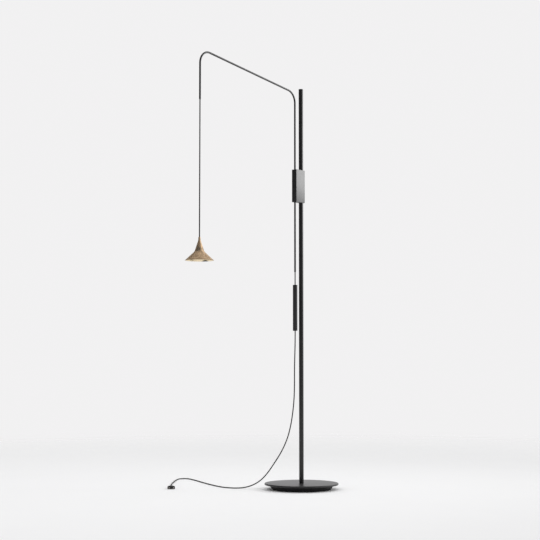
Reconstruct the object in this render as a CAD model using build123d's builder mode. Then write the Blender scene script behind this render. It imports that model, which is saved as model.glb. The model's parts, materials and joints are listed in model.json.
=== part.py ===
"""Floor lamp: weighted base, pole, clamp block, lifting swing arm, in-line driver and hanging bell head.

Millimetres, +Z up. The origin is on the floor under the pole's axis, and the arm points along -X.
"""

import os
from math import atan, cos, radians, tan

from build123d import *

os.makedirs("parts", exist_ok=True)

# Base, from the floor up
pad_t = 3.0
pad_inset = 2.0
ballast_taper = 11.0
ballast_side_h = 17.0
rim_recess = 13.5
cover_d = 325.0
cover_rim_h = 8.0
cover_rim_w = 7.0
cover_plate_t = 3.0
cover_edge_share = 0.4

# Pole, its foot and what holds it down
pole_od = 20.0
pole_wall = 2.0
pole_top_z = 1775.0
pole_cap_t = 2.0
pole_cap_spigot_h = 12.0
pole_cap_edge = 0.8
foot_h = 40.0
groove_depth = 0.6
groove_h = 8.0
bolt_d = 10.0
bolt_grip = 30.0
bolt_head_d = 16.0
bolt_head_h = 10.0
bolt_socket_d = 8.0
bolt_socket_depth = 5.0
washer_d = 22.0
washer_t = 2.0
bolt_pocket_d = 24.0
bolt_pocket_h = 14.0
screw_circle_d = 200.0
screw_count = 3
screw_d = 5.0
screw_bite = 2.0
screw_head_d = 9.0
screw_head_h = 4.0
screw_pocket_d = 11.0
screw_pocket_h = 6.0

# Clamp block, its bushes and its friction set
axis_gap = 44.0
block_bottom_z = 1263.0
block_h = 145.0
block_w = 25.0
block_tube_margin = 6.5
block_corner_r = 1.5
block_edge = 0.6
bush_wall = 1.2
pole_bush_h = 20.0
tube_bush_h = 15.0
bore_relief = 0.8
cross_bore_d = 8.0
pad_fit = 0.1
pole_pad_t = 7.5
tube_pad_t = 7.0
tube_pad_wrap = 1.0
friction_spring_od = 7.0
friction_spring_id = 4.0
bore_plug_t = 1.5

# Bent arm tube
tube_od = 8.0
tube_wall = 1.0
tube_foot_z = 956.0
tube_shoulder_z = 1750.0
arm_reach = 635.0
arm_rise_deg = 7.5
arm_bend_r = 53.0
tip_drop = 209.0
tip_flange_t = 3.0
tip_spigot_h = 12.0
ferrule_flange_t = 3.0
ferrule_spigot_h = 12.0

# Cords and the running fits
cord_d = 5.0
cord_exit_run = 44.0
cord_play = 0.1
run_fit = 0.05
swing_gap = 0.3

# Driver cylinder on the lead
driver_hang = 57.0
driver_len = 202.0
driver_d = 20.0
driver_wall = 1.5
driver_cap_t = 3.0
driver_cap_edge = 1.0
driver_spigot_h = 6.0
gland_d = 9.0
board_w = 13.0
board_t = 1.6
board_offset = 2.8
part_w = 9.0
coil_h = 18.0
coil_t = 6.0
coil_share = 0.62
capacitor_d = 6.0
capacitor_h = 16.0
capacitor_share = 0.80
button_d = 6.0
button_proud = 0.8
button_travel = 0.8
button_flange_d = 7.6
button_flange_t = 1.5
button_flange_share = 0.70
button_share = 0.33
switch_w = 6.0
switch_stop = 0.1

# Bell head on the hanging cord
pendant_drop = 563.0
neck_d = 8.0
neck_foot_d = 10.4
neck_h = 14.0
knee_d = 39.4
knee_drop = 59.0
knee_round = 8.0
rim_d = 117.0
rim_drop = 95.5
rim_edge = 1.0
shade_wall = 2.2
cavity_drop = 24.0
neck_bore_play = 0.3
grip_d = 11.0
grip_h = 10.0
sink_h = 13.0
inside_gap = 0.3
led_board_d = 30.0
led_board_t = 1.6
led_chip_d = 12.0
led_chip_t = 1.0
lens_d = 30.0
lens_edge_t = 3.0
lens_seat_w = 3.0
lens_lip = 2.0
lens_hollow = 1.8
lens_dome = 2.0
ring_lip = 1.6
ring_h = 6.0

# Mains plug
plug_h = 14.0
plug_w = 33.0
plug_back_w = 15.0
plug_len = 36.0
plug_corner_r = 5.0
relief_len = 22.0
relief_wall_small = 0.8
relief_wall_large = 2.2
pin_d = 4.0
pin_len = 19.0
pin_pitch = 18.6
pin_root = 6.0

overrun = 1.0

# Heights and places that follow from the sizes
ballast_top_d = cover_d - 2 * cover_rim_w - 2 * rim_recess
ballast_foot_d = ballast_top_d - 2 * ballast_taper
pad_d = ballast_foot_d - 2 * pad_inset
ballast_top_z = pad_t + ballast_side_h + cover_rim_h - cover_plate_t
base_top_z = ballast_top_z + cover_plate_t
pole_id = pole_od - 2 * pole_wall
pole_end_z = pole_top_z - pole_cap_t
block_mid_z = block_bottom_z + block_h / 2
block_top_z = block_bottom_z + block_h
block_pole_margin = block_w / 2
block_len = block_tube_margin + axis_gap + block_pole_margin
block_mid_x = (block_pole_margin - axis_gap - block_tube_margin) / 2
tube_id = tube_od - 2 * tube_wall
tube_x = -axis_gap
tip_x = tube_x - arm_reach
tip_corner_z = tube_shoulder_z + arm_reach * tan(radians(arm_rise_deg))
tip_end_z = tip_corner_z - tip_drop
tip_tube_z = tip_end_z + tip_flange_t
ferrule_foot_z = tube_foot_z - ferrule_flange_t
cord_join_z = tube_foot_z + ferrule_spigot_h
driver_top_z = ferrule_foot_z - driver_hang
driver_foot_z = driver_top_z - driver_len
driver_id = driver_d - 2 * driver_wall
pendant_pivot_z = tip_end_z - cord_d / 2 - swing_gap
head_top_z = tip_end_z - pendant_drop
head_pivot_z = head_top_z + cord_d / 2 + swing_gap
floor_cord_z = cord_d / 2
plug_axis_z = plug_h / 2

# Mains cord, laid by hand: down from the driver, clear of the base's rim, then along the floor
mains_route = [
    (tube_x, 0, driver_foot_z),
    (tube_x, 0, driver_foot_z - cord_exit_run),
    (-44, 2, 590),
    (-43, 5, 525),
    (-40, 7, 458),
    (-38, 11, 392),
    (-38, 19, 330),
    (-40, 30, 270),
    (-44, 46, 216),
    (-54, 69, 163),
    (-67, 99, 113),
    (-83, 127, 66),
    (-100, 155, 33),
    (-121, 186, 13),
    (-140, 218, 4),
    (-161, 252, floor_cord_z),
    (-164, 300, floor_cord_z),
    (-143, 360, floor_cord_z),
    (-110, 424, floor_cord_z),
    (-75, 487, floor_cord_z),
    (-37, 552, floor_cord_z),
    (3, 615, floor_cord_z),
    (36, 676, floor_cord_z),
    (54, 710, floor_cord_z),
    (51, 729, floor_cord_z),
    (37, 743, floor_cord_z),
    (17, 744, floor_cord_z),
    (-17, 724, floor_cord_z),
    (-69, 689, floor_cord_z),
    (-126, 647, floor_cord_z),
    (-183, 603, floor_cord_z),
    (-237, 558, 3.5),
    (-282, 515, plug_axis_z),
    (-308, 491, plug_axis_z),
]
landing_index = 15


def save(piece, label):
    """Name a finished piece and write it as its own file."""
    piece.part.label = label
    export_step(piece.part, f"parts/{label}.step")


def upright(x, z):
    """A level plane at height z on the vertical axis at x."""
    return Plane(origin=(x, 0, z))


def corner_radii(points, run_share=0.45):
    """The largest easy arc at each corner of a cord's route."""
    radii = []
    for before, here, after in zip(points, points[1:], points[2:]):
        run_in = Vector(here) - Vector(before)
        run_out = Vector(after) - Vector(here)
        turn = radians(run_in.get_angle(run_out))
        radii.append(run_share * min(run_in.length, run_out.length) / tan(turn / 2))
    return radii


# Floor pad and ballast
with BuildPart() as floor_pad:
    with BuildSketch():
        Circle(pad_d / 2)
    extrude(amount=pad_t)
save(floor_pad, "floor_pad")

with BuildPart() as base_ballast:
    with BuildSketch(Plane.XZ):
        with BuildLine():
            Polyline(
                (0, pad_t),
                (ballast_foot_d / 2, pad_t),
                (ballast_top_d / 2, pad_t + ballast_side_h),
                (ballast_top_d / 2, ballast_top_z),
                (0, ballast_top_z),
                close=True,
            )
        make_face()
    revolve(axis=Axis.Z)
    with Locations((0, 0, pad_t)):
        Cylinder(
            bolt_pocket_d / 2, bolt_pocket_h,
            align=(Align.CENTER, Align.CENTER, Align.MIN), mode=Mode.SUBTRACT,
        )
    Hole((bolt_d + pad_fit) / 2)
    with Locations(Plane.XY.offset(pad_t)):
        with PolarLocations(screw_circle_d / 2, screw_count):
            Hole((screw_d + pad_fit) / 2)
            Cylinder(
                screw_pocket_d / 2, screw_pocket_h,
                align=(Align.CENTER, Align.CENTER, Align.MIN), mode=Mode.SUBTRACT,
            )
save(base_ballast, "base_ballast")

# Cover: a shallow dish with a rounded rim that stands out past the ballast
with BuildPart() as base_cover:
    rim_foot_z = base_top_z - cover_rim_h
    with BuildSketch(Plane.XZ):
        with BuildLine():
            Polyline(
                (0, ballast_top_z),
                (cover_d / 2 - cover_rim_w, ballast_top_z),
                (cover_d / 2 - cover_rim_w, rim_foot_z),
                (cover_d / 2, rim_foot_z),
                (cover_d / 2, base_top_z),
                (0, base_top_z),
                close=True,
            )
        make_face()
    revolve(axis=Axis.Z)
    outer_edges = base_cover.edges().filter_by(GeomType.CIRCLE).group_by(SortBy.RADIUS)[-1]
    fillet(outer_edges, cover_edge_share * cover_rim_h)
    Hole((bolt_d + pad_fit) / 2)
    with Locations(Plane.XY.offset(ballast_top_z)):
        with PolarLocations(screw_circle_d / 2, screw_count):
            Cylinder(
                screw_d / 2, screw_bite,
                align=(Align.CENTER, Align.CENTER, Align.MIN), mode=Mode.SUBTRACT,
            )
save(base_cover, "base_cover")

# Screws that hold the ballast in the cover
with BuildPart() as cover_screws:
    with Locations(Plane.XY.offset(pad_t + screw_pocket_h)):
        with PolarLocations(screw_circle_d / 2, screw_count):
            Cylinder(
                screw_head_d / 2, screw_head_h, align=(Align.CENTER, Align.CENTER, Align.MAX),
            )
            Cylinder(
                screw_d / 2, ballast_top_z + screw_bite - pad_t - screw_pocket_h,
                align=(Align.CENTER, Align.CENTER, Align.MIN),
            )
save(cover_screws, "cover_screws")

# Pole bolt and washer, up through the base into the foot plug
bolt_seat_z = pad_t + bolt_pocket_h

with BuildPart() as bolt_washer:
    with BuildSketch(Plane.XY.offset(bolt_seat_z - washer_t)):
        Circle(washer_d / 2)
        Circle((bolt_d + pad_fit) / 2, mode=Mode.SUBTRACT)
    extrude(amount=washer_t)
save(bolt_washer, "bolt_washer")

with BuildPart() as pole_bolt:
    with BuildSketch(Plane.XY.offset(bolt_seat_z - washer_t)):
        Circle(bolt_head_d / 2)
    extrude(amount=-bolt_head_h)
    with BuildSketch(Plane.XY.offset(bolt_seat_z - washer_t - bolt_head_h)):
        RegularPolygon(bolt_socket_d / 2, side_count=6)
    extrude(amount=bolt_socket_depth, mode=Mode.SUBTRACT)
    with BuildSketch(Plane.XY.offset(bolt_seat_z - washer_t)):
        Circle(bolt_d / 2)
    extrude(amount=base_top_z + bolt_grip - bolt_seat_z + washer_t)
save(pole_bolt, "pole_bolt")

with BuildPart() as pole_foot:
    with BuildSketch(Plane.XY.offset(base_top_z)):
        Circle(pole_id / 2)
    extrude(amount=foot_h)
    with BuildSketch(Plane.XY.offset(base_top_z)):
        Circle(bolt_d / 2)
    extrude(amount=bolt_grip, mode=Mode.SUBTRACT)
save(pole_foot, "pole_foot")

# Pole, with the groove that keeps the clamp block at its height
with BuildPart() as pole:
    with BuildSketch(Plane.XY.offset(base_top_z)):
        Circle(pole_od / 2)
        Circle(pole_id / 2, mode=Mode.SUBTRACT)
    extrude(amount=pole_end_z - base_top_z)
    with BuildSketch(Plane.XY.offset(block_mid_z - groove_h / 2)):
        Circle(pole_od / 2 + overrun)
        Circle(pole_od / 2 - groove_depth, mode=Mode.SUBTRACT)
    extrude(amount=groove_h, mode=Mode.SUBTRACT)
save(pole, "pole")

with BuildPart() as pole_cap:
    with BuildSketch(Plane.XY.offset(pole_end_z)):
        Circle(pole_od / 2)
    extrude(amount=pole_cap_t)
    chamfer(pole_cap.edges().group_by(Axis.Z)[-1], pole_cap_edge)
    with BuildSketch(Plane.XY.offset(pole_end_z)):
        Circle(pole_id / 2)
    extrude(amount=-pole_cap_spigot_h)
save(pole_cap, "pole_cap")

# Clamp block: both bores, a bush seat at each mouth, and the cross bore for the friction set
pole_bush_od = pole_od + 2 * run_fit + 2 * bush_wall
tube_bush_od = tube_od + 2 * run_fit + 2 * bush_wall

with BuildPart() as clamp_block:
    with BuildSketch(Plane.XY.offset(block_bottom_z)):
        with Locations((block_mid_x, 0)):
            RectangleRounded(block_len, block_w, block_corner_r)
    extrude(amount=block_h)
    chamfer(clamp_block.edges().group_by(Axis.Z)[-1], block_edge)
    chamfer(clamp_block.edges().group_by(Axis.Z)[0], block_edge)
    for bore_x, bore_d, bush_od, bush_h in (
        (0, pole_od, pole_bush_od, pole_bush_h),
        (tube_x, tube_od, tube_bush_od, tube_bush_h),
    ):
        with BuildSketch(upright(bore_x, block_bottom_z)):
            Circle(bore_d / 2 + bore_relief)
        extrude(amount=block_h, mode=Mode.SUBTRACT)
        with BuildSketch(upright(bore_x, block_bottom_z), upright(bore_x, block_top_z - bush_h)):
            Circle(bush_od / 2)
        extrude(amount=bush_h, mode=Mode.SUBTRACT)
    with BuildSketch(Plane.YZ.offset(tube_x)):
        with Locations((0, block_mid_z)):
            Circle(cross_bore_d / 2)
    extrude(amount=axis_gap + block_pole_margin, mode=Mode.SUBTRACT)
save(clamp_block, "clamp_block")


def bush(label, axis_x, foot_z, shaft_d, height):
    """A plain nylon bush that runs on a shaft."""
    with BuildPart() as sleeve:
        with BuildSketch(upright(axis_x, foot_z)):
            Circle(shaft_d / 2 + run_fit + bush_wall)
            Circle(shaft_d / 2 + run_fit, mode=Mode.SUBTRACT)
        extrude(amount=height)
    save(sleeve, label)


bush("pole_bush_lower", 0, block_bottom_z, pole_od, pole_bush_h)
bush("pole_bush_upper", 0, block_top_z - pole_bush_h, pole_od, pole_bush_h)
bush("tube_bush_lower", tube_x, block_bottom_z, tube_od, tube_bush_h)
bush("tube_bush_upper", tube_x, block_top_z - tube_bush_h, tube_od, tube_bush_h)

# Friction set in the cross bore: one spring pushes a pad on the pole and a pad on the tube
pole_pad_back_x = -(pole_od / 2 - groove_depth) - pole_pad_t
tube_pad_nose_x = tube_x + tube_od / 2 - tube_pad_wrap
tube_pad_back_x = tube_pad_nose_x + tube_pad_t
friction_pad_d = cross_bore_d - 2 * pad_fit

with BuildPart() as pole_pad:
    with BuildSketch(Plane.YZ.offset(pole_pad_back_x)):
        with Locations((0, block_mid_z)):
            Circle(friction_pad_d / 2)
    extrude(amount=-pole_pad_back_x)
    with BuildSketch(Plane.XY.offset(block_mid_z - cross_bore_d / 2)):
        Circle(pole_od / 2 - groove_depth + run_fit)
    extrude(amount=cross_bore_d, mode=Mode.SUBTRACT)
save(pole_pad, "pole_pad")

with BuildPart() as tube_pad:
    with BuildSketch(Plane.YZ.offset(tube_pad_nose_x)):
        with Locations((0, block_mid_z)):
            Circle(friction_pad_d / 2)
    extrude(amount=tube_pad_t)
    with BuildSketch(upright(tube_x, block_mid_z - cross_bore_d / 2)):
        Circle(tube_od / 2 + run_fit)
    extrude(amount=cross_bore_d, mode=Mode.SUBTRACT)
save(tube_pad, "tube_pad")

with BuildPart() as friction_spring:
    with BuildSketch(Plane.YZ.offset(tube_pad_back_x)):
        with Locations((0, block_mid_z)):
            Circle(friction_spring_od / 2)
            Circle(friction_spring_id / 2, mode=Mode.SUBTRACT)
    extrude(amount=pole_pad_back_x - tube_pad_back_x)
save(friction_spring, "friction_spring")

with BuildPart() as bore_plug:
    with BuildSketch(Plane.YZ.offset(block_pole_margin)):
        with Locations((0, block_mid_z)):
            Circle(cross_bore_d / 2)
    extrude(amount=-bore_plug_t)
save(bore_plug, "bore_plug")

# Arm: one bent tube, with the cord inside it
arm_points = [
    (tube_x, 0, tube_foot_z),
    (tube_x, 0, tube_shoulder_z),
    (tip_x, 0, tip_corner_z),
    (tip_x, 0, tip_tube_z),
]

with BuildPart() as arm_tube:
    with BuildLine():
        FilletPolyline(*arm_points, radius=arm_bend_r)
    with BuildSketch(upright(tube_x, tube_foot_z)):
        Circle(tube_od / 2)
        Circle(tube_id / 2, mode=Mode.SUBTRACT)
    sweep()
save(arm_tube, "arm_tube")

with BuildPart() as arm_cord:
    with BuildLine():
        FilletPolyline(
            (tube_x, 0, cord_join_z), *arm_points[1:3], (tip_x, 0, tip_end_z), radius=arm_bend_r
        )
    with BuildSketch(upright(tube_x, cord_join_z)):
        Circle(cord_d / 2)
    sweep()
save(arm_cord, "arm_cord")

with BuildPart() as tip_bush:
    with BuildSketch(upright(tip_x, tip_end_z)):
        Circle(tube_od / 2)
    extrude(amount=tip_flange_t)
    with BuildSketch(upright(tip_x, tip_tube_z)):
        Circle(tube_id / 2)
    extrude(amount=tip_spigot_h)
    with BuildSketch(upright(tip_x, tip_end_z)):
        Circle(cord_d / 2 + cord_play)
    extrude(amount=tip_flange_t + tip_spigot_h, mode=Mode.SUBTRACT)
save(tip_bush, "tip_bush")

# Ferrule in the tube's foot, which carries the lead and the driver
with BuildPart() as tube_ferrule:
    with BuildSketch(upright(tube_x, ferrule_foot_z)):
        Circle(tube_od / 2)
    extrude(amount=ferrule_flange_t)
    with BuildSketch(upright(tube_x, tube_foot_z)):
        Circle(tube_id / 2 - run_fit)
    extrude(amount=ferrule_spigot_h)
    with BuildSketch(upright(tube_x, ferrule_foot_z)):
        Circle(cord_d / 2)
    extrude(amount=ferrule_flange_t + ferrule_spigot_h, mode=Mode.SUBTRACT)
save(tube_ferrule, "tube_ferrule")

# Driver: a slim cylinder with a cap and a cord gland at each end
spigot_top_z = driver_foot_z + driver_cap_t + driver_spigot_h
spigot_foot_z = driver_top_z - driver_cap_t - driver_spigot_h
board_len = spigot_foot_z - spigot_top_z
button_z = spigot_top_z + button_share * board_len

with BuildPart() as driver_lead:
    with BuildSketch(upright(tube_x, spigot_foot_z)):
        Circle(cord_d / 2)
    extrude(amount=cord_join_z - spigot_foot_z)
save(driver_lead, "driver_lead")

with BuildPart() as mains_tail:
    with BuildSketch(upright(tube_x, driver_foot_z)):
        Circle(cord_d / 2)
    extrude(amount=driver_cap_t + driver_spigot_h)
save(mains_tail, "mains_tail")

with BuildPart() as driver_housing:
    with BuildSketch(upright(tube_x, driver_foot_z + driver_cap_t)):
        Circle(driver_d / 2)
        Circle(driver_id / 2, mode=Mode.SUBTRACT)
    extrude(amount=driver_len - 2 * driver_cap_t)
    with BuildSketch(Plane.XZ):
        with Locations((tube_x, button_z)):
            Circle(button_d / 2 + run_fit)
    extrude(amount=-driver_d, mode=Mode.SUBTRACT)
save(driver_housing, "driver_housing")


def driver_cap(label, face_z, inward):
    """An end cap whose spigot fits the housing, with a seat for the gland."""
    with BuildPart() as cap:
        with BuildSketch(upright(tube_x, face_z)):
            Circle(driver_d / 2)
        extrude(amount=inward * driver_cap_t)
        outer_face = cap.faces().sort_by(Axis((0, 0, 0), (0, 0, inward)))[0]
        chamfer(outer_face.edges(), driver_cap_edge)
        with BuildSketch(upright(tube_x, face_z + inward * driver_cap_t)):
            Circle(driver_id / 2)
        extrude(amount=inward * driver_spigot_h)
        with BuildSketch(upright(tube_x, face_z)):
            Circle(gland_d / 2)
        extrude(amount=inward * (driver_cap_t + driver_spigot_h), mode=Mode.SUBTRACT)
    save(cap, label)


def cord_gland(label, face_z, inward):
    """A nylon sleeve that grips the cord in an end cap."""
    with BuildPart() as gland:
        with BuildSketch(upright(tube_x, face_z)):
            Circle(gland_d / 2)
            Circle(cord_d / 2, mode=Mode.SUBTRACT)
        extrude(amount=inward * (driver_cap_t + driver_spigot_h))
    save(gland, label)


driver_cap("driver_top_cap", driver_top_z, -1)
driver_cap("driver_bottom_cap", driver_foot_z, 1)
cord_gland("lead_gland", driver_top_z, -1)
cord_gland("mains_gland", driver_foot_z, 1)

# Board between both spigots, with what stands on it
board_face_y = -board_offset

with BuildPart() as driver_board:
    with BuildSketch(upright(tube_x, spigot_top_z)):
        with Locations((0, board_face_y)):
            Rectangle(board_w, board_t, align=(Align.CENTER, Align.MAX))
    extrude(amount=board_len)
save(driver_board, "driver_board")

with BuildPart() as driver_components:
    with Locations((tube_x, board_face_y, spigot_top_z + coil_share * board_len)):
        Box(part_w, coil_t, coil_h, align=(Align.CENTER, Align.MIN, Align.CENTER))
    with BuildSketch(upright(tube_x, spigot_top_z + capacitor_share * board_len)):
        with Locations((0, board_face_y)):
            Circle(capacitor_d / 2, align=(Align.CENTER, Align.MIN))
    extrude(amount=capacitor_h)
save(driver_components, "driver_components")

# Push-button through the housing's wall, and the switch behind it
button_flange_y = button_flange_share * driver_id / 2
button_back_y = button_flange_y - button_flange_t

with BuildPart() as switch_button:
    with BuildSketch(Plane.XZ.offset(-button_back_y)):
        with Locations((tube_x, button_z)):
            Circle(button_flange_d / 2)
    extrude(amount=-button_flange_t)
    with BuildSketch(Plane.XZ.offset(-button_flange_y)):
        with Locations((tube_x, button_z)):
            Circle(button_d / 2)
    extrude(amount=-(driver_d / 2 + button_proud - button_flange_y))
    chamfer(switch_button.edges().group_by(Axis.Y)[-1], button_proud / 2)
save(switch_button, "switch_button")

with BuildPart() as tact_switch:
    with BuildSketch(Plane.XZ.offset(-board_face_y)):
        with Locations((tube_x, button_z)):
            Rectangle(switch_w, switch_w)
    extrude(amount=-(button_back_y - button_travel - switch_stop - board_face_y))
save(tact_switch, "tact_switch")

# Hanging cord: a round end at each pivot
with BuildPart() as pendant_cord:
    with BuildSketch(upright(tip_x, head_pivot_z)):
        Circle(cord_d / 2)
    extrude(amount=pendant_pivot_z - head_pivot_z)
    with Locations((tip_x, 0, head_pivot_z), (tip_x, 0, pendant_pivot_z)):
        Sphere(cord_d / 2)
save(pendant_cord, "pendant_cord")

# Bell: a narrow cone that breaks at the knee into a wide skirt, turned about the cord's axis
head_plane = Plane(origin=(tip_x, 0, head_top_z), x_dir=(1, 0, 0), z_dir=(0, -1, 0))
head_axis = Axis((tip_x, 0, head_top_z), (0, 0, 1))
cone_slope = (knee_d - neck_foot_d) / 2 / (knee_drop - neck_h)
skirt_slope = (rim_d - knee_d) / 2 / (rim_drop - rim_edge - knee_drop)
cone_wall = shade_wall / cos(atan(cone_slope))
skirt_wall = shade_wall / cos(atan(skirt_slope))
knee_inside_r = knee_d / 2 - cone_wall
rim_inside_r = rim_d / 2 - skirt_wall
inside_skirt_slope = (rim_inside_r - knee_inside_r) / (rim_drop - knee_drop)


def cone_inside(drop):
    """Inside radius of the narrow cone, at a drop below the head's top."""
    return knee_inside_r - (knee_drop - drop) * cone_slope


def skirt_inside(drop):
    """Inside radius of the skirt, at a drop below the head's top."""
    return knee_inside_r + (drop - knee_drop) * inside_skirt_slope


with BuildPart() as shade:
    with BuildSketch(head_plane) as shade_section:
        with BuildLine():
            Polyline(
                (cord_d / 2 + neck_bore_play, 0),
                (neck_d / 2, 0),
                (neck_foot_d / 2, -neck_h),
                (knee_d / 2, -knee_drop),
                (rim_d / 2, rim_edge - rim_drop),
                (rim_d / 2, -rim_drop),
                (rim_inside_r, -rim_drop),
                (knee_inside_r, -knee_drop),
                (cone_inside(cavity_drop), -cavity_drop),
                (cord_d / 2 + neck_bore_play, -cavity_drop),
                close=True,
            )
        make_face()
        knee_corners = shade_section.vertices().filter_by_position(
            Axis.Y, -knee_drop - rim_edge, rim_edge - knee_drop
        )
        fillet(knee_corners, knee_round)
    revolve(axis=head_axis)
save(shade, "shade")

# What the bell holds: cord grip, lead, heat sink, LED board, lens and its ring
sink_top_drop = knee_drop - sink_h
board_foot_drop = knee_drop + led_board_t
lens_foot_drop = board_foot_drop + lens_edge_t

with BuildPart() as cord_grip:
    with BuildSketch(upright(tip_x, head_top_z - cavity_drop)):
        Circle(grip_d / 2)
        Circle(cord_d / 2, mode=Mode.SUBTRACT)
    extrude(amount=-grip_h)
save(cord_grip, "cord_grip")

with BuildPart() as head_lead:
    with BuildSketch(upright(tip_x, head_top_z)):
        Circle(cord_d / 2)
    extrude(amount=-sink_top_drop)
save(head_lead, "head_lead")

with BuildPart() as heat_sink:
    with BuildSketch(head_plane):
        with BuildLine():
            Polyline(
                (0, -sink_top_drop),
                (cone_inside(sink_top_drop) - inside_gap, -sink_top_drop),
                (knee_inside_r - inside_gap, -knee_drop),
                (0, -knee_drop),
                close=True,
            )
        make_face()
    revolve(axis=head_axis)
save(heat_sink, "heat_sink")

with BuildPart() as led_board:
    with BuildSketch(upright(tip_x, head_top_z - knee_drop)):
        Circle(led_board_d / 2)
    extrude(amount=-led_board_t)
    with BuildSketch(upright(tip_x, head_top_z - board_foot_drop)):
        Circle(led_chip_d / 2)
    extrude(amount=-led_chip_t)
save(led_board, "led_board")

with BuildPart() as lens:
    dome_r = lens_d / 2 - lens_lip
    hollow_r = lens_d / 2 - lens_seat_w
    with BuildSketch(head_plane):
        with BuildLine():
            rim_line = Polyline(
                (0, -board_foot_drop - lens_hollow),
                (hollow_r, -board_foot_drop - lens_hollow),
                (hollow_r, -board_foot_drop),
                (lens_d / 2, -board_foot_drop),
                (lens_d / 2, -lens_foot_drop),
                (dome_r, -lens_foot_drop),
            )
            dome = TangentArc((0, -lens_foot_drop - lens_dome), rim_line @ 1, tangent=(1, 0))
            Line(dome @ 0, rim_line @ 0)
        make_face()
    revolve(axis=head_axis)
save(lens, "lens")

with BuildPart() as retaining_ring:
    ring_top_drop = knee_drop + inside_gap
    ring_foot_drop = ring_top_drop + ring_h
    with BuildSketch(head_plane):
        with BuildLine():
            Polyline(
                (lens_d / 2 + inside_gap, -ring_top_drop),
                (skirt_inside(ring_top_drop) - inside_gap, -ring_top_drop),
                (skirt_inside(ring_foot_drop) - inside_gap, -ring_foot_drop),
                (lens_d / 2 - ring_lip, -ring_foot_drop),
                (lens_d / 2 - ring_lip, -lens_foot_drop),
                (lens_d / 2 + inside_gap, -lens_foot_drop),
                close=True,
            )
        make_face()
    revolve(axis=head_axis)
save(retaining_ring, "retaining_ring")


def cord_tube(label, points):
    """A plain tube along a cord's route, in straight runs and easy arcs."""
    radii = corner_radii(points)
    start = Vector(points[0])
    with BuildPart() as cord:
        with BuildLine() as route:
            FilletPolyline(*points, radius=radii)
        with BuildSketch(Plane(origin=start, z_dir=Vector(points[1]) - start)):
            Circle(cord_d / 2)
        sweep()
    length = sum(edge.length for edge in route.edges())
    section = cord.part.volume / length
    print(label, "length", round(length, 1), "volume over length", round(section, 3))
    print(label, "radii", [round(radius) for radius in radii])
    save(cord, label)


# Mains cord in two lengths, which meet half-way along the run that reaches the floor
landing = (Vector(mains_route[landing_index - 1]) + Vector(mains_route[landing_index])) / 2
cord_tube("mains_cord_drop", [*mains_route[:landing_index], tuple(landing)])
cord_tube("mains_cord_floor", [tuple(landing), *mains_route[landing_index:]])

# Two-pin plug at the cord's end, lying on the floor
plug_exit = Vector(mains_route[-1])
plug_way = (plug_exit - Vector(mains_route[-2])).normalized()
plug_across = Vector(0, 0, 1).cross(plug_way)


def plug_plane(distance):
    """A plane square to the plug, at a distance from the cord's end."""
    return Plane(origin=plug_exit + plug_way * distance, x_dir=plug_across, z_dir=plug_way)


with BuildPart() as plug_relief:
    with BuildSketch(plug_plane(0)):
        Circle(cord_d / 2 + relief_wall_small)
    with BuildSketch(plug_plane(relief_len)):
        Circle(cord_d / 2 + relief_wall_large)
    loft()
save(plug_relief, "plug_relief")

with BuildPart() as plug_body:
    with BuildSketch(plug_plane(relief_len)):
        RectangleRounded(plug_back_w, plug_h, plug_corner_r)
    with BuildSketch(plug_plane(relief_len + plug_len)):
        RectangleRounded(plug_w, plug_h, plug_corner_r)
    loft()
    with BuildSketch(plug_plane(relief_len + plug_len)):
        with GridLocations(pin_pitch, 0, 2, 1):
            Circle(pin_d / 2)
    extrude(amount=-pin_root, mode=Mode.SUBTRACT)
save(plug_body, "plug_body")

with BuildPart() as plug_pins:
    with BuildSketch(plug_plane(relief_len + plug_len - pin_root)):
        with GridLocations(pin_pitch, 0, 2, 1):
            Circle(pin_d / 2)
    extrude(amount=pin_root + pin_len)
    chamfer(plug_pins.faces().sort_by(Axis(plug_exit, plug_way))[-2:].edges(), pin_d / 4)
save(plug_pins, "plug_pins")
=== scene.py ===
"""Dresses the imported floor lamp: base, pole, clamp block, swing arm, driver, cords, plug and bell.

Laid out as a Blender add-on and run as a script. Metres, +Z up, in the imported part's own frame.
"""

import json
from math import cos, pi, radians, sin, tan

import bmesh
import bpy
from bpy.props import FloatProperty, FloatVectorProperty, IntProperty, PointerProperty
from bpy.types import Operator, Panel, PropertyGroup
from mathutils import Matrix, Vector, noise


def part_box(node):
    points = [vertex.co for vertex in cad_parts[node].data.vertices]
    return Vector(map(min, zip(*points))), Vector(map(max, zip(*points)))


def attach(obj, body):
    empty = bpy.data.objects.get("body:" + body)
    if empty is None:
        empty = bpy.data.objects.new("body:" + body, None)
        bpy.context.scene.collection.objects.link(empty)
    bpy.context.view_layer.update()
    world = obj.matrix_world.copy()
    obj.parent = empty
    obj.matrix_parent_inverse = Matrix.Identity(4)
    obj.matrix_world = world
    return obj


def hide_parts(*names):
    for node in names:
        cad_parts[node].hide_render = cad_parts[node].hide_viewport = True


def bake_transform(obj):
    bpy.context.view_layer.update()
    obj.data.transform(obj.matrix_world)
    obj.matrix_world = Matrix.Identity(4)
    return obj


bl_info = {
    "name": "Floor lamp dresser",
    "version": (1, 0, 0),
    "blender": (4, 5, 0),
    "location": "3D View > Sidebar > Lamp",
    "description": "Builds the finished surfaces of a floor lamp around its packed frame",
    "category": "Object",
}

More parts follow.
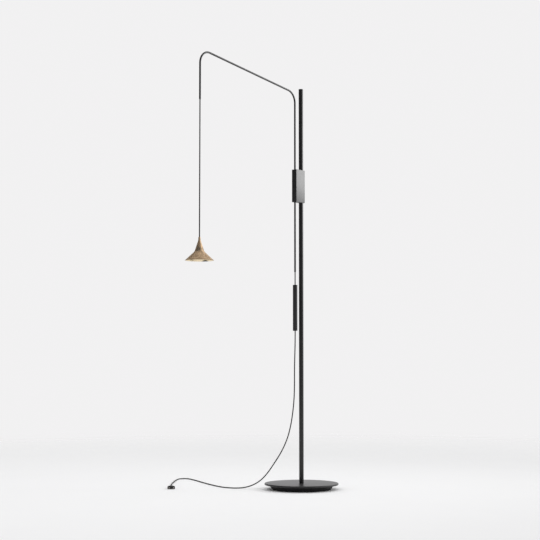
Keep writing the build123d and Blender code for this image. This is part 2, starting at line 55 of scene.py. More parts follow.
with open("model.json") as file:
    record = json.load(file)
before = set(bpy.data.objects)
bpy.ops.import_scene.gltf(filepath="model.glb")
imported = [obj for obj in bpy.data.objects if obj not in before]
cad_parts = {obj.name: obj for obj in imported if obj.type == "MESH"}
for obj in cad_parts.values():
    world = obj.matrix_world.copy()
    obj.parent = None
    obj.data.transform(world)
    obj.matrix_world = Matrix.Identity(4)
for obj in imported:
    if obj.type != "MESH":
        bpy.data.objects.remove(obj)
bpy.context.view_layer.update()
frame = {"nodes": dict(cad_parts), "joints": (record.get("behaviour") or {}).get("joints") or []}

MM = 0.001
TINY = 1e-7  # points closer than this are one point
UP = Vector((0, 0, 1))

# The mains cord's route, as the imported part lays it
MAINS_ROUTE_MM = [
    (-44, 0, 694), (-44, 0, 650), (-44, 2, 590), (-43, 5, 525), (-40, 7, 458), (-38, 11, 392),
    (-38, 19, 330), (-40, 30, 270), (-44, 46, 216), (-54, 69, 163), (-67, 99, 113), (-83, 127, 66),
    (-100, 155, 33), (-121, 186, 13), (-140, 218, 4), (-161, 252, 2.5), (-164, 300, 2.5),
    (-143, 360, 2.5), (-110, 424, 2.5), (-75, 487, 2.5), (-37, 552, 2.5), (3, 615, 2.5),
    (36, 676, 2.5), (54, 710, 2.5), (51, 729, 2.5), (37, 743, 2.5), (17, 744, 2.5), (-17, 724, 2.5),
    (-69, 689, 2.5), (-126, 647, 2.5), (-183, 603, 2.5), (-237, 558, 3.5), (-282, 515, 7),
    (-308, 491, 7),
]


def length(name, description, default):
    """A length in millimetres that a user would change."""
    return FloatProperty(
        name=name, description=description, default=default * MM, unit="LENGTH", precision=5
    )


def angle(name, description, default):
    """An angle in degrees that a user would change."""
    return FloatProperty(name=name, description=description, default=radians(default), subtype="ANGLE")


def colour(name, description, default):
    """A colour that a user would change."""
    return FloatVectorProperty(
        name=name, description=description, default=default, subtype="COLOR", min=0, max=1
    )


def count(name, description, default, least):
    """A count with the least that still gives the shape."""
    return IntProperty(name=name, description=description, default=default, min=least)


class LampSizes(PropertyGroup):
    """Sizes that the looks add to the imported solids"""

    cord_d: length("Cord", "Thickness of every cord", 5.0)
    mains_length: length("Mains length", "Length of the mains cord from driver to plug", 1800)
    edge: length("Edge break", "Rounding of turned and sawn edges", 0.5)
    cover_rim_w: length("Rim width", "Width of the cover's turned-down rim", 7.0)
    cover_edge: length("Rim rounding", "Rounding of the cover's outer edges", 3.2)
    bolt_hole_r: length("Bolt hole", "Radius of the hole for the pole's bolt", 5.05)
    bolt_pocket_r: length("Bolt pocket", "Radius of the pocket under the ballast", 12.0)
    bolt_pocket_h: length("Pocket height", "Height of the pocket under the ballast", 14.0)
    pad_inset: length("Pad inset", "How far the pad stays inside the ballast", 2.0)
    pole_wall: length("Pole wall", "Wall of the pole", 2.0)
    groove_depth: length("Groove depth", "Depth of the groove behind the block", 0.6)
    groove_h: length("Groove height", "Height of the groove behind the block", 8.0)
    block_corner: length("Block corners", "Rounding of the block's upright edges", 1.5)
    bush_wall: length("Bush wall", "Wall of the nylon bushes", 1.2)
    spring_wire_r: length("Spring wire", "Radius of the friction spring's wire", 0.6)
    tube_wall: length("Tube wall", "Wall of the arm tube", 1.0)
    arm_bend_r: length("Arm bend", "Radius of the arm's bends on its centre line", 53.0)
    arm_shoulder_z: length("Arm shoulder", "Height at which the arm leaves the upright", 1750)
    arm_rise: angle("Arm rise", "Slope of the arm towards its tip", 7.5)
    collar_flange: length("Collar flange", "Height of the flanges on the tube's two ends", 3.0)
    driver_wall: length("Driver wall", "Wall of the driver's housing", 1.5)
    cap_t: length("Cap", "Thickness of the driver's end caps", 3.0)
    button_r: length("Button", "Radius of the push-button", 3.0)
    relief_l: length("Relief length", "Length of the plug's ribbed relief", 22.0)
    plug_l: length("Plug length", "Length of the plug's moulding", 36.0)
    pin_l: length("Pin length", "Length of the plug's pins", 19.0)
    shade_wall: length("Shade wall", "Wall of the bell", 2.2)
    knee_rounding: length("Knee", "Rounding where the bell's cone meets its skirt", 20.0)
    cast_depth: length("Cast skin", "How far the cast bell's skin wanders", 0.22)
    cast_size: length("Cast lumps", "Size of the lumps in the cast skin", 11.0)


class LampCounts(PropertyGroup):
    """Counts of sides, steps, ribs and turns"""

    wide_sides: count("Base sides", "Sides of the base", 256, 24)
    bell_sides: count("Bell sides", "Sides of the bell", 192, 24)
    round_sides: count("Round sides", "Sides of the other turned parts", 96, 12)
    small_sides: count("Small sides", "Sides of glands, button and plug", 64, 12)
    tube_sides: count("Tube sides", "Sides of the arm tube, its collars and drilled holes", 48, 12)
    pin_sides: count("Pin sides", "Sides of the plug's pins and relief", 32, 8)
    cord_sides: count("Cord sides", "Sides of the cords", 20, 8)
    wire_sides: count("Wire sides", "Sides of the spring's wire and of the relief's ribs", 12, 6)
    arc_steps: count("Arc steps", "Steps of a rounded corner", 7, 2)
    bend_steps: count("Bend steps", "Steps of an arm bend", 40, 6)
    coil_steps: count("Coil steps", "Steps of one turn of the spring", 28, 8)
    cord_steps: count("Cord steps", "Steps between route points", 12, 2)
    plug_steps: count("Plug steps", "Sections along the plug's moulding", 25, 5)
    relief_ribs: count("Relief ribs", "Ribs of the plug's relief", 7, 3)
    spring_turns: count("Spring turns", "Turns of the friction spring", 8, 3)


class LampFinish(PropertyGroup):
    """Colours of the finishes"""

    coat: colour("Coat", "Black powder coat", (0.0105, 0.0105, 0.0108))
    satin: colour("Satin", "Black satin coat of the block", (0.012, 0.012, 0.013))
    driver: colour("Driver", "Matt black coat of the driver", (0.018, 0.018, 0.019))
    ballast: colour("Ballast", "Black paint of the cast weight", (0.0084, 0.0084, 0.00864))
    brass: colour("Brass", "Rubbed brass of the bell", (0.70, 0.515, 0.335))
    brass_brown: colour("Brown patina", "Brown patina of the bell", (0.30, 0.205, 0.12))
    brass_grey: colour("Grey patina", "Grey patina near the bell's knee", (0.10, 0.087, 0.075))
    brass_inner: colour("Inner brass", "Clean brass inside the bell", (0.84, 0.70, 0.48))
    cord: colour("Cord", "Braided cord", (0.016, 0.015, 0.0145))
    nylon: colour("Nylon", "Black nylon", (0.017, 0.017, 0.0175))
    button: colour("Button", "Push-button", (0.0289, 0.0289, 0.02975))
    rubber: colour("Rubber", "Floor pad", (0.014, 0.014, 0.014))
    zinc: colour("Zinc", "Plated fasteners", (0.60, 0.60, 0.61))
    nickel: colour("Nickel", "Plug pins", (0.66, 0.63, 0.57))
    aluminium: colour("Aluminium", "Heat sink", (0.78, 0.78, 0.79))
    board: colour("Board", "Circuit board", (0.03, 0.16, 0.07))
    lens: colour("Lens", "Frosted lens", (0.86, 0.85, 0.82))


class LampStage(PropertyGroup):
    """Camera, floor and light"""

    eye: FloatVectorProperty(
        name="Eye", description="Where the camera stands", subtype="TRANSLATION",
        default=(-4.62269, -3.50072, 0.566),
    )
    heading: angle("Heading", "Way the camera faces, from +Y towards +X", 51.5)
    pitch: angle("Pitch", "How far the camera looks up", 3.93)
    focal: FloatProperty(
        name="Focal length", description="Focal length in millimetres", unit="CAMERA", default=87.33
    )
    floor: colour("Floor", "Pale floor", (0.87, 0.87, 0.875))
    floor_fade: length("Floor fade", "Distance at which the floor starts to fade", 1700)
    floor_end: length("Floor end", "Distance at which the floor has faded", 5000)
    backdrop: colour("Backdrop", "What is seen beyond the floor", (0.885, 0.88, 0.885))
    ambient: FloatProperty(
        name="Ambient", description="Strength of the light from all round", default=0.96, min=0, max=1
    )
    flag: colour("Flag", "Dark card, which only reflections show", (0.05, 0.05, 0.05))
    flag_reach: length("Flag reach", "How far the dark card stands from the lamp", 4400)
    flag_h: length("Flag height", "Height of the dark card", 6600)
    flag_from: angle("Flag start", "Where the dark card starts, from +X towards +Y", 72)
    flag_to: angle("Flag end", "Where the dark card ends, from +X towards +Y", 272)
    key_radiance: FloatProperty(
        name="Key", description="Brightness of the key light on its axis", default=10.2
    )
    key_way: FloatVectorProperty(
        name="Key direction", description="From the block towards the key light", subtype="XYZ",
        default=(0.766, -0.605, 0.22),
    )
    key_distance: length("Key distance", "How far the key light stands from the block", 3300)
    key_w: length("Key width", "Width of the key light", 1900)
    key_h: length("Key height", "Height of the key light", 1500)
    key_spread: angle("Key spread", "Angle that the key light fills", 70)


def both_ways(operation):
    """An operator of a shader value, and its reflected form."""

    def forward(self, other):
        return self.math(operation, self, other)

    def reflected(self, other):
        return self.math(operation, other, self)

    return forward, reflected


class Number:
    """A shader value that takes part in Python sums: each sum adds its Math node."""

    def __init__(self, maker, socket):
        self.maker = maker
        self.socket = socket

    def math(self, operation, first, second=0.0):
        sockets = {0: first, 1: second}
        return self.maker.number(self.maker.add("ShaderNodeMath", {"operation": operation}, sockets))

    __add__, __radd__ = both_ways("ADD")
    __sub__, __rsub__ = both_ways("SUBTRACT")
    __mul__, __rmul__ = both_ways("MULTIPLY")
    __truediv__, __rtruediv__ = both_ways("DIVIDE")
    __mod__, __rmod__ = both_ways("MODULO")
    __pow__, __rpow__ = both_ways("POWER")

    def __abs__(self):
        return self.math("ABSOLUTE", self)

    def larger(self, other):
        return self.math("MAXIMUM", self, other)

    def smaller(self, other):
        return self.math("MINIMUM", self, other)

    def between(self, low, high):
        """0 up to low, 1 from high on, and a smooth step between them."""
        settings = {"interpolation_type": "SMOOTHSTEP"}
        sockets = {"Value": self, "From Min": low, "From Max": high}
        return self.maker.number(self.maker.add("ShaderNodeMapRange", settings, sockets))


class NodeMaker:
    """Adds nodes to one tree, with their settings first and then their sockets."""

    def __init__(self, tree):
        self.tree = tree

    def add(self, kind, settings=None, sockets=None):
        node = self.tree.nodes.new(kind)
        for name, value in (settings or {}).items():
            setattr(node, name, value)
        for key, value in (sockets or {}).items():
            target = node.inputs[key]
            source = value.socket if isinstance(value, Number) else value
            if isinstance(source, bpy.types.NodeSocket):
                self.tree.links.new(source, target)
            else:
                target.default_value = source
        return node

    def number(self, node, output=0):
        return Number(self, node.outputs[output])


class Surface(NodeMaker):
    """One material and the patterns that its finish is mixed from."""

    def __init__(self, name):
        self.material = bpy.data.materials.new(f"{name}_finish")
        self.material.use_nodes = True
        super().__init__(self.material.node_tree)
        self.tree.nodes.clear()

    def place(self, centre=(0, 0, 0), stretch=(1, 1, 1)):
        """Object coordinates, measured from a centre and stretched."""
        source = self.add("ShaderNodeTexCoord").outputs["Object"]
        moved = self.add("ShaderNodeVectorMath", {"operation": "SUBTRACT"}, {0: source, 1: centre})
        sockets = {0: moved.outputs[0], 1: stretch}
        return self.add("ShaderNodeVectorMath", {"operation": "MULTIPLY"}, sockets).outputs[0]

    def parts(self, vector):
        """The three numbers of a vector."""
        split = self.add("ShaderNodeSeparateXYZ", {}, {0: vector})
        return [self.number(split, index) for index in range(3)]

    def reach(self, vector):
        """The length of a vector."""
        node = self.add("ShaderNodeVectorMath", {"operation": "LENGTH"}, {0: vector})
        return self.number(node, "Value")

    def noise(self, vector, scale, detail=2.0, roughness=0.5, distortion=0.0):
        sockets = {
            "Vector": vector, "Scale": scale, "Detail": detail, "Roughness": roughness,
            "Distortion": distortion,
        }
        return self.number(self.add("ShaderNodeTexNoise", {}, sockets))

    def mix(self, factor, first, second):
        """A colour between two colours."""
        first, second = ((*c, 1.0) if isinstance(c, tuple) else c for c in (first, second))
        sockets = {0: factor, 6: first, 7: second}
        return self.add("ShaderNodeMix", {"data_type": "RGBA"}, sockets).outputs[2]

    def shade(self, factor, tint, first, second):
        """A colour between two tones of a tint, which are given as shares of it."""
        return self.mix(factor, scaled(tint, first), scaled(tint, second))

    def bump(self, height, distance, strength, below=None):
        """Surface normals that follow a height, over the ones below it."""
        sockets = {"Height": height, "Distance": distance, "Strength": strength}
        if below is not None:
            sockets["Normal"] = below
        return self.add("ShaderNodeBump", {}, sockets).outputs[0]

    def finish(self, sockets):
        """Close the tree with the shader, and give back the material."""
        shader = self.add("ShaderNodeBsdfPrincipled", {}, sockets)
        self.add("ShaderNodeOutputMaterial", {}, {"Surface": shader.outputs[0]})
        return self.material


def scaled(tint, factor):
    """A colour made lighter or darker."""
    return tuple(min(1.0, channel * factor) for channel in tint)


def coated(name, tint, rough, grain_size, specular):
    """Black coat on metal: slow drifts in tone and gloss, and a skin of fine pebbles."""
    surface = Surface(name)
    place = surface.place()
    drift = surface.noise(place, 14.0, 3.0)
    grain = surface.noise(place, 1 / grain_size, 3.0, 0.6)
    fleck = surface.noise(place, 0.4 / grain_size, 1.0).between(0.62, 0.74)
    tone = surface.shade(drift, tint, 0.75, 1.3)
    return surface.finish({
        "Base Color": surface.mix(0.35 * fleck, tone, scaled(tint, 2.6)),
        "Roughness": rough - 0.05 + 0.07 * drift + 0.05 * grain,
        "Specular IOR Level": specular,
        "Normal": surface.bump(grain, 0.05 * grain_size, 0.5),
    })


def moulded(name, tint, rough, grain_size, specular):
    """Moulded plastic or rubber: an even tone with a fine spark-eroded grain."""
    surface = Surface(name)
    place = surface.place()
    grain = surface.noise(place, 1 / grain_size, 3.0, 0.6)
    drift = surface.noise(place, 40.0, 2.0)
    return surface.finish({
        "Base Color": surface.shade(drift, tint, 0.85, 1.2),
        "Roughness": rough + 0.1 * grain - 0.05,
        "Specular IOR Level": specular,
        "Normal": surface.bump(grain, 0.06 * grain_size, 0.6),
    })


def plated(name, tint, rough):
    """Plated metal: clouded gloss and faint drawn lines."""
    surface = Surface(name)
    clouds = surface.noise(surface.place(), 240.0, 3.0)
    lines = surface.noise(surface.place(stretch=(900, 900, 60)), 1.0, 2.0)
    return surface.finish({
        "Base Color": surface.shade(clouds, tint, 0.85, 1.1),
        "Metallic": 1.0,
        "Roughness": rough + 0.12 * clouds + 0.06 * lines,
        "Normal": surface.bump(lines, 0.02 * MM, 0.4),
    })


def aged_brass(name, tint):
    """Aged cast brass: rubbed tan, brown clouds, grey at the knee, upright streaks and pits."""
    finish = bpy.context.scene.lamp_finish
    low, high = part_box("shade")
    knee_h = 0.4 * (high.z - low.z)
    knee = ((low.x + high.x) / 2, 0, low.z + knee_h)
    surface = Surface(name)
    place = surface.place(knee)
    height = surface.parts(place)[2]
    streaks = surface.noise(surface.place(knee, (210, 210, 24)), 1.0, 3.0, 0.6)
    clouds = surface.noise(place, 70.0, 6.0, 0.66, 0.25)
    lumps = surface.noise(place, 170.0, 3.0, 0.6)
    pits = surface.noise(place, 850.0, 2.0, 0.6)
    near_knee = (1 - abs(height - 6 * MM) / (26 * MM)).larger(0.0)
    # A grey patch on the cone just above the knee, on the side that faces the camera.
    grey_patch_centre = (knee[0] - 16.5 * MM, -7.2 * MM, knee[2] + 9 * MM)
    grey_patch = 1 - surface.reach(surface.place(grey_patch_centre, (1, 1, 0.45))).between(1 * MM, 13 * MM)
    # A band along the lowest few millimetres of the lip is made browner.
    rim = 1 - (height + knee_h).between(0.5 * MM, 3.5 * MM)
    brown = (clouds + 0.35 * streaks + 0.5 * rim).between(0.54, 0.90)
    grey = (lumps * 0.6 + clouds * 0.5 + 0.12 * near_knee + 0.25 * grey_patch).between(0.62, 0.92)
    tone = surface.shade(streaks, tint, 0.80, 1.16)
    tone = surface.mix(0.85 * brown, tone, tuple(finish.brass_brown))
    dull = (brown * 0.5 + grey * 0.6).smaller(1.0)
    return surface.finish({
        "Base Color": surface.mix(0.9 * grey, tone, tuple(finish.brass_grey)),
        "Metallic": 0.95 - 0.35 * dull,
        "Roughness": 0.54 + 0.16 * dull + 0.08 * pits,
        "Normal": surface.bump(pits, 0.12 * MM, 0.5, surface.bump(lumps, 0.5 * MM, 0.35)),
    })


def inner_brass(name, tint):
    """Clean brass inside the bell: turning lines, dull clouds and a near-black patch of painted shade
    at the rim.
    """
    low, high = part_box("shade")
    surface = Surface(name)
    axis = ((low.x + high.x) / 2, 0, low.z)
    place = surface.place(axis)
    clouds = surface.noise(place, 70.0, 4.0, 0.6, 0.6).between(0.52, 0.8)
    # A near-black patch with ragged edges on the inner wall near the rim is painted shade, and it is
    # made rougher there too.
    patch = surface.reach(surface.place((axis[0] + 51 * MM, 14 * MM, low.z), (1, 1, 2.4)))
    ragged = surface.noise(place, 190.0, 4.0, 0.65)
    painted_shade = (1 - patch / (15 * MM) + 0.9 * ragged).between(0.25, 0.95)
    turning = surface.noise(surface.place(axis, (6, 6, 2600)), 1.0, 2.0)
    tone = surface.shade(0.7 * clouds, tint, 1.0, 0.55)
    return surface.finish({
        "Base Color": surface.mix(painted_shade, tone, scaled(tint, 0.035)),
        "Metallic": 1.0,
        "Roughness": 0.24 + 0.16 * clouds + 0.06 * turning + 0.2 * painted_shade,
        "Normal": surface.bump(turning, 0.03 * MM, 0.4),
    })


def braided_cord(name, tint):
    """Textile braid: two sets of strands that pass over and under each other, by the cord's UV map."""
    surface = Surface(name)
    turn, along, _ = surface.parts(surface.add("ShaderNodeTexCoord").outputs["UV"])
    strands = 10.0
    always_above_zero = 4000.0
    rounds, cells = [], []
    for strand in (strands * (turn + along), strands * (turn - along)):
        rounds.append(1 - (2 * strand.math("FRACT", strand) - 1) ** 2.0)
        cells.append(strand.math("FLOOR", strand))
    rising_top = (cells[0] + cells[1] + always_above_zero) % 2.0
    relief = rising_top * rounds[0] + (1 - rising_top) * rounds[1]
    fibre = surface.noise(surface.place(), 2600.0, 2.0, 0.7)
    wander = surface.noise(surface.place(), 160.0, 2.0)
    # The dips between the strands are painted darker and the crowns lighter: painted shade that
    # follows the braid's relief.
    tone = surface.shade(relief, tint, 0.45, 1.25)
    return surface.finish({
        "Base Color": surface.mix(0.5 * fibre * wander, tone, scaled(tint, 3.0)),
        "Roughness": 0.86 - 0.1 * relief,
        "Specular IOR Level": 0.3,
        "Sheen Weight": 0.12,
        "Sheen Roughness": 0.4,
        "Normal": surface.bump(relief + 0.25 * fibre, 0.16 * MM, 0.8),
    })


def machined_aluminium(name, tint):
    """Heat sink, with the rings that turning leaves."""
    low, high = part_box("heat_sink")
    surface = Surface(name)
    reach = surface.reach(surface.place(((low.x + high.x) / 2, 0, low.z)))
    rings = reach.math("SINE", 9000 * reach)
    return surface.finish({
        "Base Color": surface.mix(0.5 + 0.2 * rings, (0.55, 0.55, 0.56), tint),
        "Metallic": 1.0,
        "Roughness": 0.34 + 0.05 * rings,
        "Normal": surface.bump(rings, 0.03 * MM, 0.4),
    })


def circuit_board(name, tint):
    """Solder mask with lighter tracks."""
    surface = Surface(name)
    place = surface.place()
    settings = {"feature": "DISTANCE_TO_EDGE"}
    tracks = surface.add("ShaderNodeTexVoronoi", settings, {"Vector": place, "Scale": 380.0})
    track = surface.number(tracks).between(0.02, 0.06)
    return surface.finish({
        "Base Color": surface.shade(track, tint, 1.9, 1.0),
        "Roughness": 0.36 + 0.1 * surface.noise(place, 1500.0),
        "Normal": surface.bump(1 - track, 0.03 * MM, 0.5),
    })


def frosted_lens(name, tint):
    """Lens with a finely etched face."""
    surface = Surface(name)
    place = surface.place()
    etch = surface.noise(place, 3000.0, 2.0)
    return surface.finish({
        "Base Color": surface.shade(surface.noise(place, 90.0, 2.0), tint, 0.93, 1.0),
        "Roughness": 0.34 + 0.12 * etch,
        "Transmission Weight": 0.45,
        "IOR": 1.49,
        "Normal": surface.bump(etch, 0.02 * MM, 0.4),
    })


# The maker and the tint of each finish, then its roughness, grain size and specular level
FINISHES = {
    "powder_coat": (coated, "coat", 0.335, 0.7 * MM, 0.5),
    "satin_coat": (coated, "satin", 0.36, 0.35 * MM, 0.6),
    "driver_coat": (coated, "driver", 0.5, 0.4 * MM, 0.3),
    "ballast_paint": (coated, "ballast", 0.6, 2.4 * MM, 0.35),
    "black_nylon": (moulded, "nylon", 0.5, 0.25 * MM, 0.45),
    "pad_rubber": (moulded, "rubber", 0.82, 0.6 * MM, 0.3),
    "cord_sheath": (moulded, "cord", 0.7, 0.4 * MM, 0.3),
    "plug_plastic": (moulded, "nylon", 0.44, 0.35 * MM, 0.5),
    "button_plastic": (moulded, "button", 0.38, 0.2 * MM, 0.5),
    "zinc_plate": (plated, "zinc", 0.26),
    "nickel_plate": (plated, "nickel", 0.16),
    "aged_brass": (aged_brass, "brass"),
    "inner_brass": (inner_brass, "brass_inner"),
    "braided_cord": (braided_cord, "cord"),
    "machined_aluminium": (machined_aluminium, "aluminium"),
    "circuit_board": (circuit_board, "board"),
    "frosted_lens": (frosted_lens, "lens"),
}


def material(name):
    """A finish by name, made the first time that it is asked for."""
    made = bpy.data.materials.get(f"{name}_finish")
    if made is None:
        make, tint, *values = FINISHES[name]
        made = make(name, tuple(getattr(bpy.context.scene.lamp_finish, tint)), *values)
    return made


def linked(name, data):
    """A new object in the scene."""
    made = bpy.data.objects.new(name, data)
    bpy.context.scene.collection.objects.link(made)
    return made


def plain_mesh(carrier, name):
    """The plain mesh of an object with its modifiers applied; the object is removed."""
    graph = bpy.context.evaluated_depsgraph_get()
    mesh = bpy.data.meshes.new_from_object(carrier.evaluated_get(graph))
    carrier.modifiers.clear()
    bpy.data.objects.remove(carrier)
    mesh.name = name
    return mesh


def dressed(name, mesh, finish):
    """A mesh of one finish, as a new object in the scene."""
    mesh.materials.clear()
    mesh.materials.append(material(finish))
    return linked(name, mesh)


def piece(name, mesh, body, node, finish=None):
    """A finished mesh that rides on a body and stands for a CAD node."""
    made = dressed(name, mesh, finish) if finish else linked(name, mesh)
    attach(made, body)
    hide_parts(node)
    return made


def turned(node):
    """Axis x, radius, foot and top of a CAD node that stands on an upright axis."""
    low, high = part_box(node)
    return (low.x + high.x) / 2, (high.x - low.x) / 2, low.z, high.z


def around(steps):
    """Angles of equal steps round a full turn."""
    return [2 * pi * step / steps for step in range(steps)]


def circle(radius, sides, axis_x=0.0, height=0.0):
    """A level ring of points round an upright axis, or one point where the ring has no width."""
    turns = around(sides) if radius > TINY else [0.0]
    return [(axis_x + radius * cos(turn), radius * sin(turn), height) for turn in turns]


def outline(corners, steps):
    """A closed outline from corners (radius, height, rounding), with an arc at each rounded corner."""
    points = []
    for index, (radius, height, rounding) in enumerate(corners):
        here = Vector((radius, height))
        if rounding == 0:
            points.append(here)
            continue
        back = (Vector(corners[index - 1][:2]) - here).normalized()
        on = (Vector(corners[(index + 1) % len(corners)][:2]) - here).normalized()
        half = back.angle(on) / 2
        centre = here + (back + on).normalized() * rounding / sin(half)
        first = here + back * rounding / tan(half) - centre
        last = here + on * rounding / tan(half) - centre
        spokes = [first.slerp(last, step / steps).normalized() for step in range(steps + 1)]
        points += [centre + spoke * rounding for spoke in spokes]
    return points


def divided(points, longest):
    """The same closed outline with no run longer than a given length."""
    fine = []
    for here, after in zip(points, points[1:] + points[:1]):
        runs = max(1, round((after - here).length / longest))
        fine += [here.lerp(after, run / runs) for run in range(runs)]
    return fine


def tidy(mesh, crease=radians(32)):
    """Weld a mesh, turn its faces outwards and shade it smooth between its creases."""
    work = bmesh.new()
    work.from_mesh(mesh)
    bmesh.ops.remove_doubles(work, verts=work.verts, dist=TINY)
    bmesh.ops.recalc_face_normals(work, faces=work.faces)
    work.to_mesh(mesh)
    work.free()
    mesh.shade_smooth()
    mesh.set_sharp_from_angle(angle=crease)
    return mesh


def skin(name, rings, levels=None):
    """A mesh of rings joined in order, the last to the first, with a UV map where levels are given."""
    sides = max(len(ring) for ring in rings)
    starts = [sum(len(ring) for ring in rings[:index]) for index in range(len(rings))]
    faces, places = [], []
    for here in range(len(rings)):
        after = (here + 1) % len(rings)
        for side in range(sides):
            corners = {}
            for ring, step in ((here, side), (here, side + 1), (after, side + 1), (after, side)):
                lone = len(rings[ring]) == 1
                point = starts[ring] + (0 if lone else step % sides)
                turn = (side + 0.5 if lone else step) / sides
                corners[point] = (turn, levels[ring] if levels else 0.0)
            if len(corners) > 2:
                faces.append(list(corners))
                places += corners.values()
    mesh = bpy.data.meshes.new(name)
    mesh.from_pydata([point for ring in rings for point in ring], [], faces)
    if levels:
        uv = mesh.uv_layers.new(name=name)
        for loop, place in zip(uv.data, places):
            loop.uv = place
    return mesh


def lathe(name, corners, axis_x=0.0, sides=None, longest=None):
    """A closed turned mesh on an upright axis, from the corners of its half section."""
    counts = bpy.context.scene.lamp_counts
    section = outline(corners, counts.arc_steps)
    if longest:
        section = divided(section, longest)
    sides = sides or counts.round_sides
    return tidy(skin(name, [circle(radius, sides, axis_x, height) for radius, height in section]))


def turned_piece(name, body, node, finish, corners, axis_x=0.0, sides=None):
    """A turned mesh that rides on a body and stands for a CAD node."""
    return piece(name, lathe(name, corners, axis_x, sides), body, node, finish)


def drill(mesh, radius, depth, place):
    """The mesh with a round hole that starts at a place and runs along the place's Z."""
    corners = [(0, 0, 0), (radius, 0, 0), (radius, depth, 0), (0, depth, 0)]
    cutter = lathe("drill", corners, sides=bpy.context.scene.lamp_counts.tube_sides)
    cutter.transform(place)
    solid, tool = linked(mesh.name, mesh), linked("drill", cutter)
    modifier = solid.modifiers.new("hole", "BOOLEAN")
    modifier.operation = "DIFFERENCE"
    modifier.solver = "EXACT"
    modifier.object = tool
    drilled = plain_mesh(solid, mesh.name)
    bpy.data.objects.remove(tool)
    return tidy(drilled)


def grow(name, tree, points, edges, inputs):
    """The plain mesh that a geometry tree makes from starting points and edges."""
    start = bpy.data.meshes.new(name)
    start.from_pydata(points, edges, [])
    carrier = linked(name, start)
    modifier = carrier.modifiers.new(name, "NODES")
    modifier.node_group = tree
    for item in tree.interface.items_tree:
        if item.in_out == "INPUT" and item.name in inputs:
            modifier[item.identifier] = inputs[item.name]
    mesh = plain_mesh(carrier, name)
    for index in reversed(range(len(mesh.materials))):
        if mesh.materials[index] is None:
            mesh.materials.pop(index=index)
    return mesh


class GeometryTree(NodeMaker):
    """A geometry tree with named inputs that ends in Realize Instances and Set Material."""

    def __init__(self, name, inputs):
        super().__init__(bpy.data.node_groups.new(name, "GeometryNodeTree"))
        sockets = {"Geometry": "Geometry", "Material": "Material", **inputs}
        for label, kind in sockets.items():
            self.tree.interface.new_socket(label, in_out="INPUT", socket_type=f"NodeSocket{kind}")
        self.tree.interface.new_socket("Geometry", in_out="OUTPUT", socket_type="NodeSocketGeometry")
        self.given = self.add("NodeGroupInput").outputs

    def shape(self, kind, settings=None, sockets=None):
        """The geometry that a node gives."""
        return self.add(kind, settings, sockets).outputs[0]

    def ring(self, sides, radius):
        """A round section."""
        sockets = {"Resolution": sides, "Radius": radius}
        return self.shape("GeometryNodeCurvePrimitiveCircle", {}, sockets)

    def swept(self, curve, section, **more):
        """A section drawn along a curve."""
        sockets = {"Curve": curve, "Profile Curve": section, **more}
        return self.shape("GeometryNodeCurveToMesh", {}, sockets)

    def joined(self, parts):
        """Several geometries as one."""
        join = self.add("GeometryNodeJoinGeometry")
        for part in parts:
            self.tree.links.new(part, join.inputs[0])
        return join.outputs[0]

    def painted(self, geometry, paint):
        """The geometry made real, smooth and of one material."""
        real = self.shape("GeometryNodeRealizeInstances", {}, {0: geometry})
        smooth = self.shape("GeometryNodeSetShadeSmooth", {}, {0: real})
        return self.shape("GeometryNodeSetMaterial", {}, {"Geometry": smooth, "Material": paint})

    def close(self, geometry):
        self.add("NodeGroupOutput", {}, {0: geometry})
        return self.tree


def bent_tube_tree():
    """A tube swept along bent edges."""
    inputs = {"Radius": "Float", "Bend": "Float", "Steps": "Int", "Sides": "Int"}
    tree = GeometryTree("bent_tube", inputs)
    given = tree.given
    line = tree.shape("GeometryNodeMeshToCurve", {}, {0: given["Geometry"]})
    sockets = {"Curve": line, "Count": given["Steps"], "Radius": given["Bend"]}
    bent = tree.shape("GeometryNodeFilletCurve", {"mode": "POLY"}, sockets)
    wall = tree.swept(bent, tree.ring(given["Sides"], given["Radius"]))
    return tree.close(tree.painted(wall, given["Material"]))


def coil_spring_tree():
    """A wire wound into a coil along +Z."""
    inputs = {"Radius": "Float", "Wire": "Float", "Height": "Float", "Turns": "Float"}
    tree = GeometryTree("coil_spring", {**inputs, "Steps": "Int", "Sides": "Int"})
    given = tree.given
    sockets = {
        "Resolution": given["Steps"], "Rotations": given["Turns"], "Start Radius": given["Radius"],
        "End Radius": given["Radius"], "Height": given["Height"],
    }
    coil = tree.shape("GeometryNodeCurveSpiral", {}, sockets)
    wire = tree.swept(coil, tree.ring(given["Sides"], given["Wire"]), **{"Fill Caps": True})
    return tree.close(tree.painted(wire, given["Material"]))


def ribbed_relief_tree():
    """A tapered core along its edge with rounded ribs round it."""
    inputs = {"Small": "Float", "Large": "Float", "Rib": "Float"}
    tree = GeometryTree("ribbed_relief", {**inputs, "Ribs": "Int", "Sides": "Int", "Rib sides": "Int"})
    given = tree.given
    line = tree.shape("GeometryNodeMeshToCurve", {}, {0: given["Geometry"]})
    sockets = {"Curve": line, "Count": given["Ribs"]}
    line = tree.shape("GeometryNodeResampleCurve", {"mode": "COUNT"}, sockets)
    along = tree.shape("GeometryNodeSplineParameter")
    sockets = {"Value": along, "To Min": given["Small"], "To Max": given["Large"]}
    width = tree.shape("ShaderNodeMapRange", {}, sockets)
    tapered = tree.shape("GeometryNodeSetCurveRadius", {}, {"Curve": line, "Radius": width})
    reach = tree.shape("GeometryNodeInputRadius")
    unit = tree.ring(given["Sides"], 1.0)
    core = tree.swept(tapered, unit, **{"Scale": reach, "Fill Caps": True})
    stations = tree.add("GeometryNodeCurveToPoints", {"mode": "EVALUATED"}, {"Curve": tapered}).outputs
    sockets = {
        "Points": stations["Points"], "Rotation": stations["Rotation"], "Instance": unit,
        "Scale": reach,
    }
    hoops = tree.shape("GeometryNodeInstanceOnPoints", {}, sockets)
    hoops = tree.shape("GeometryNodeRealizeInstances", {}, {0: hoops})
    ribs = tree.swept(hoops, tree.ring(given["Rib sides"], given["Rib"]))
    return tree.close(tree.painted(tree.joined((core, ribs)), given["Material"]))


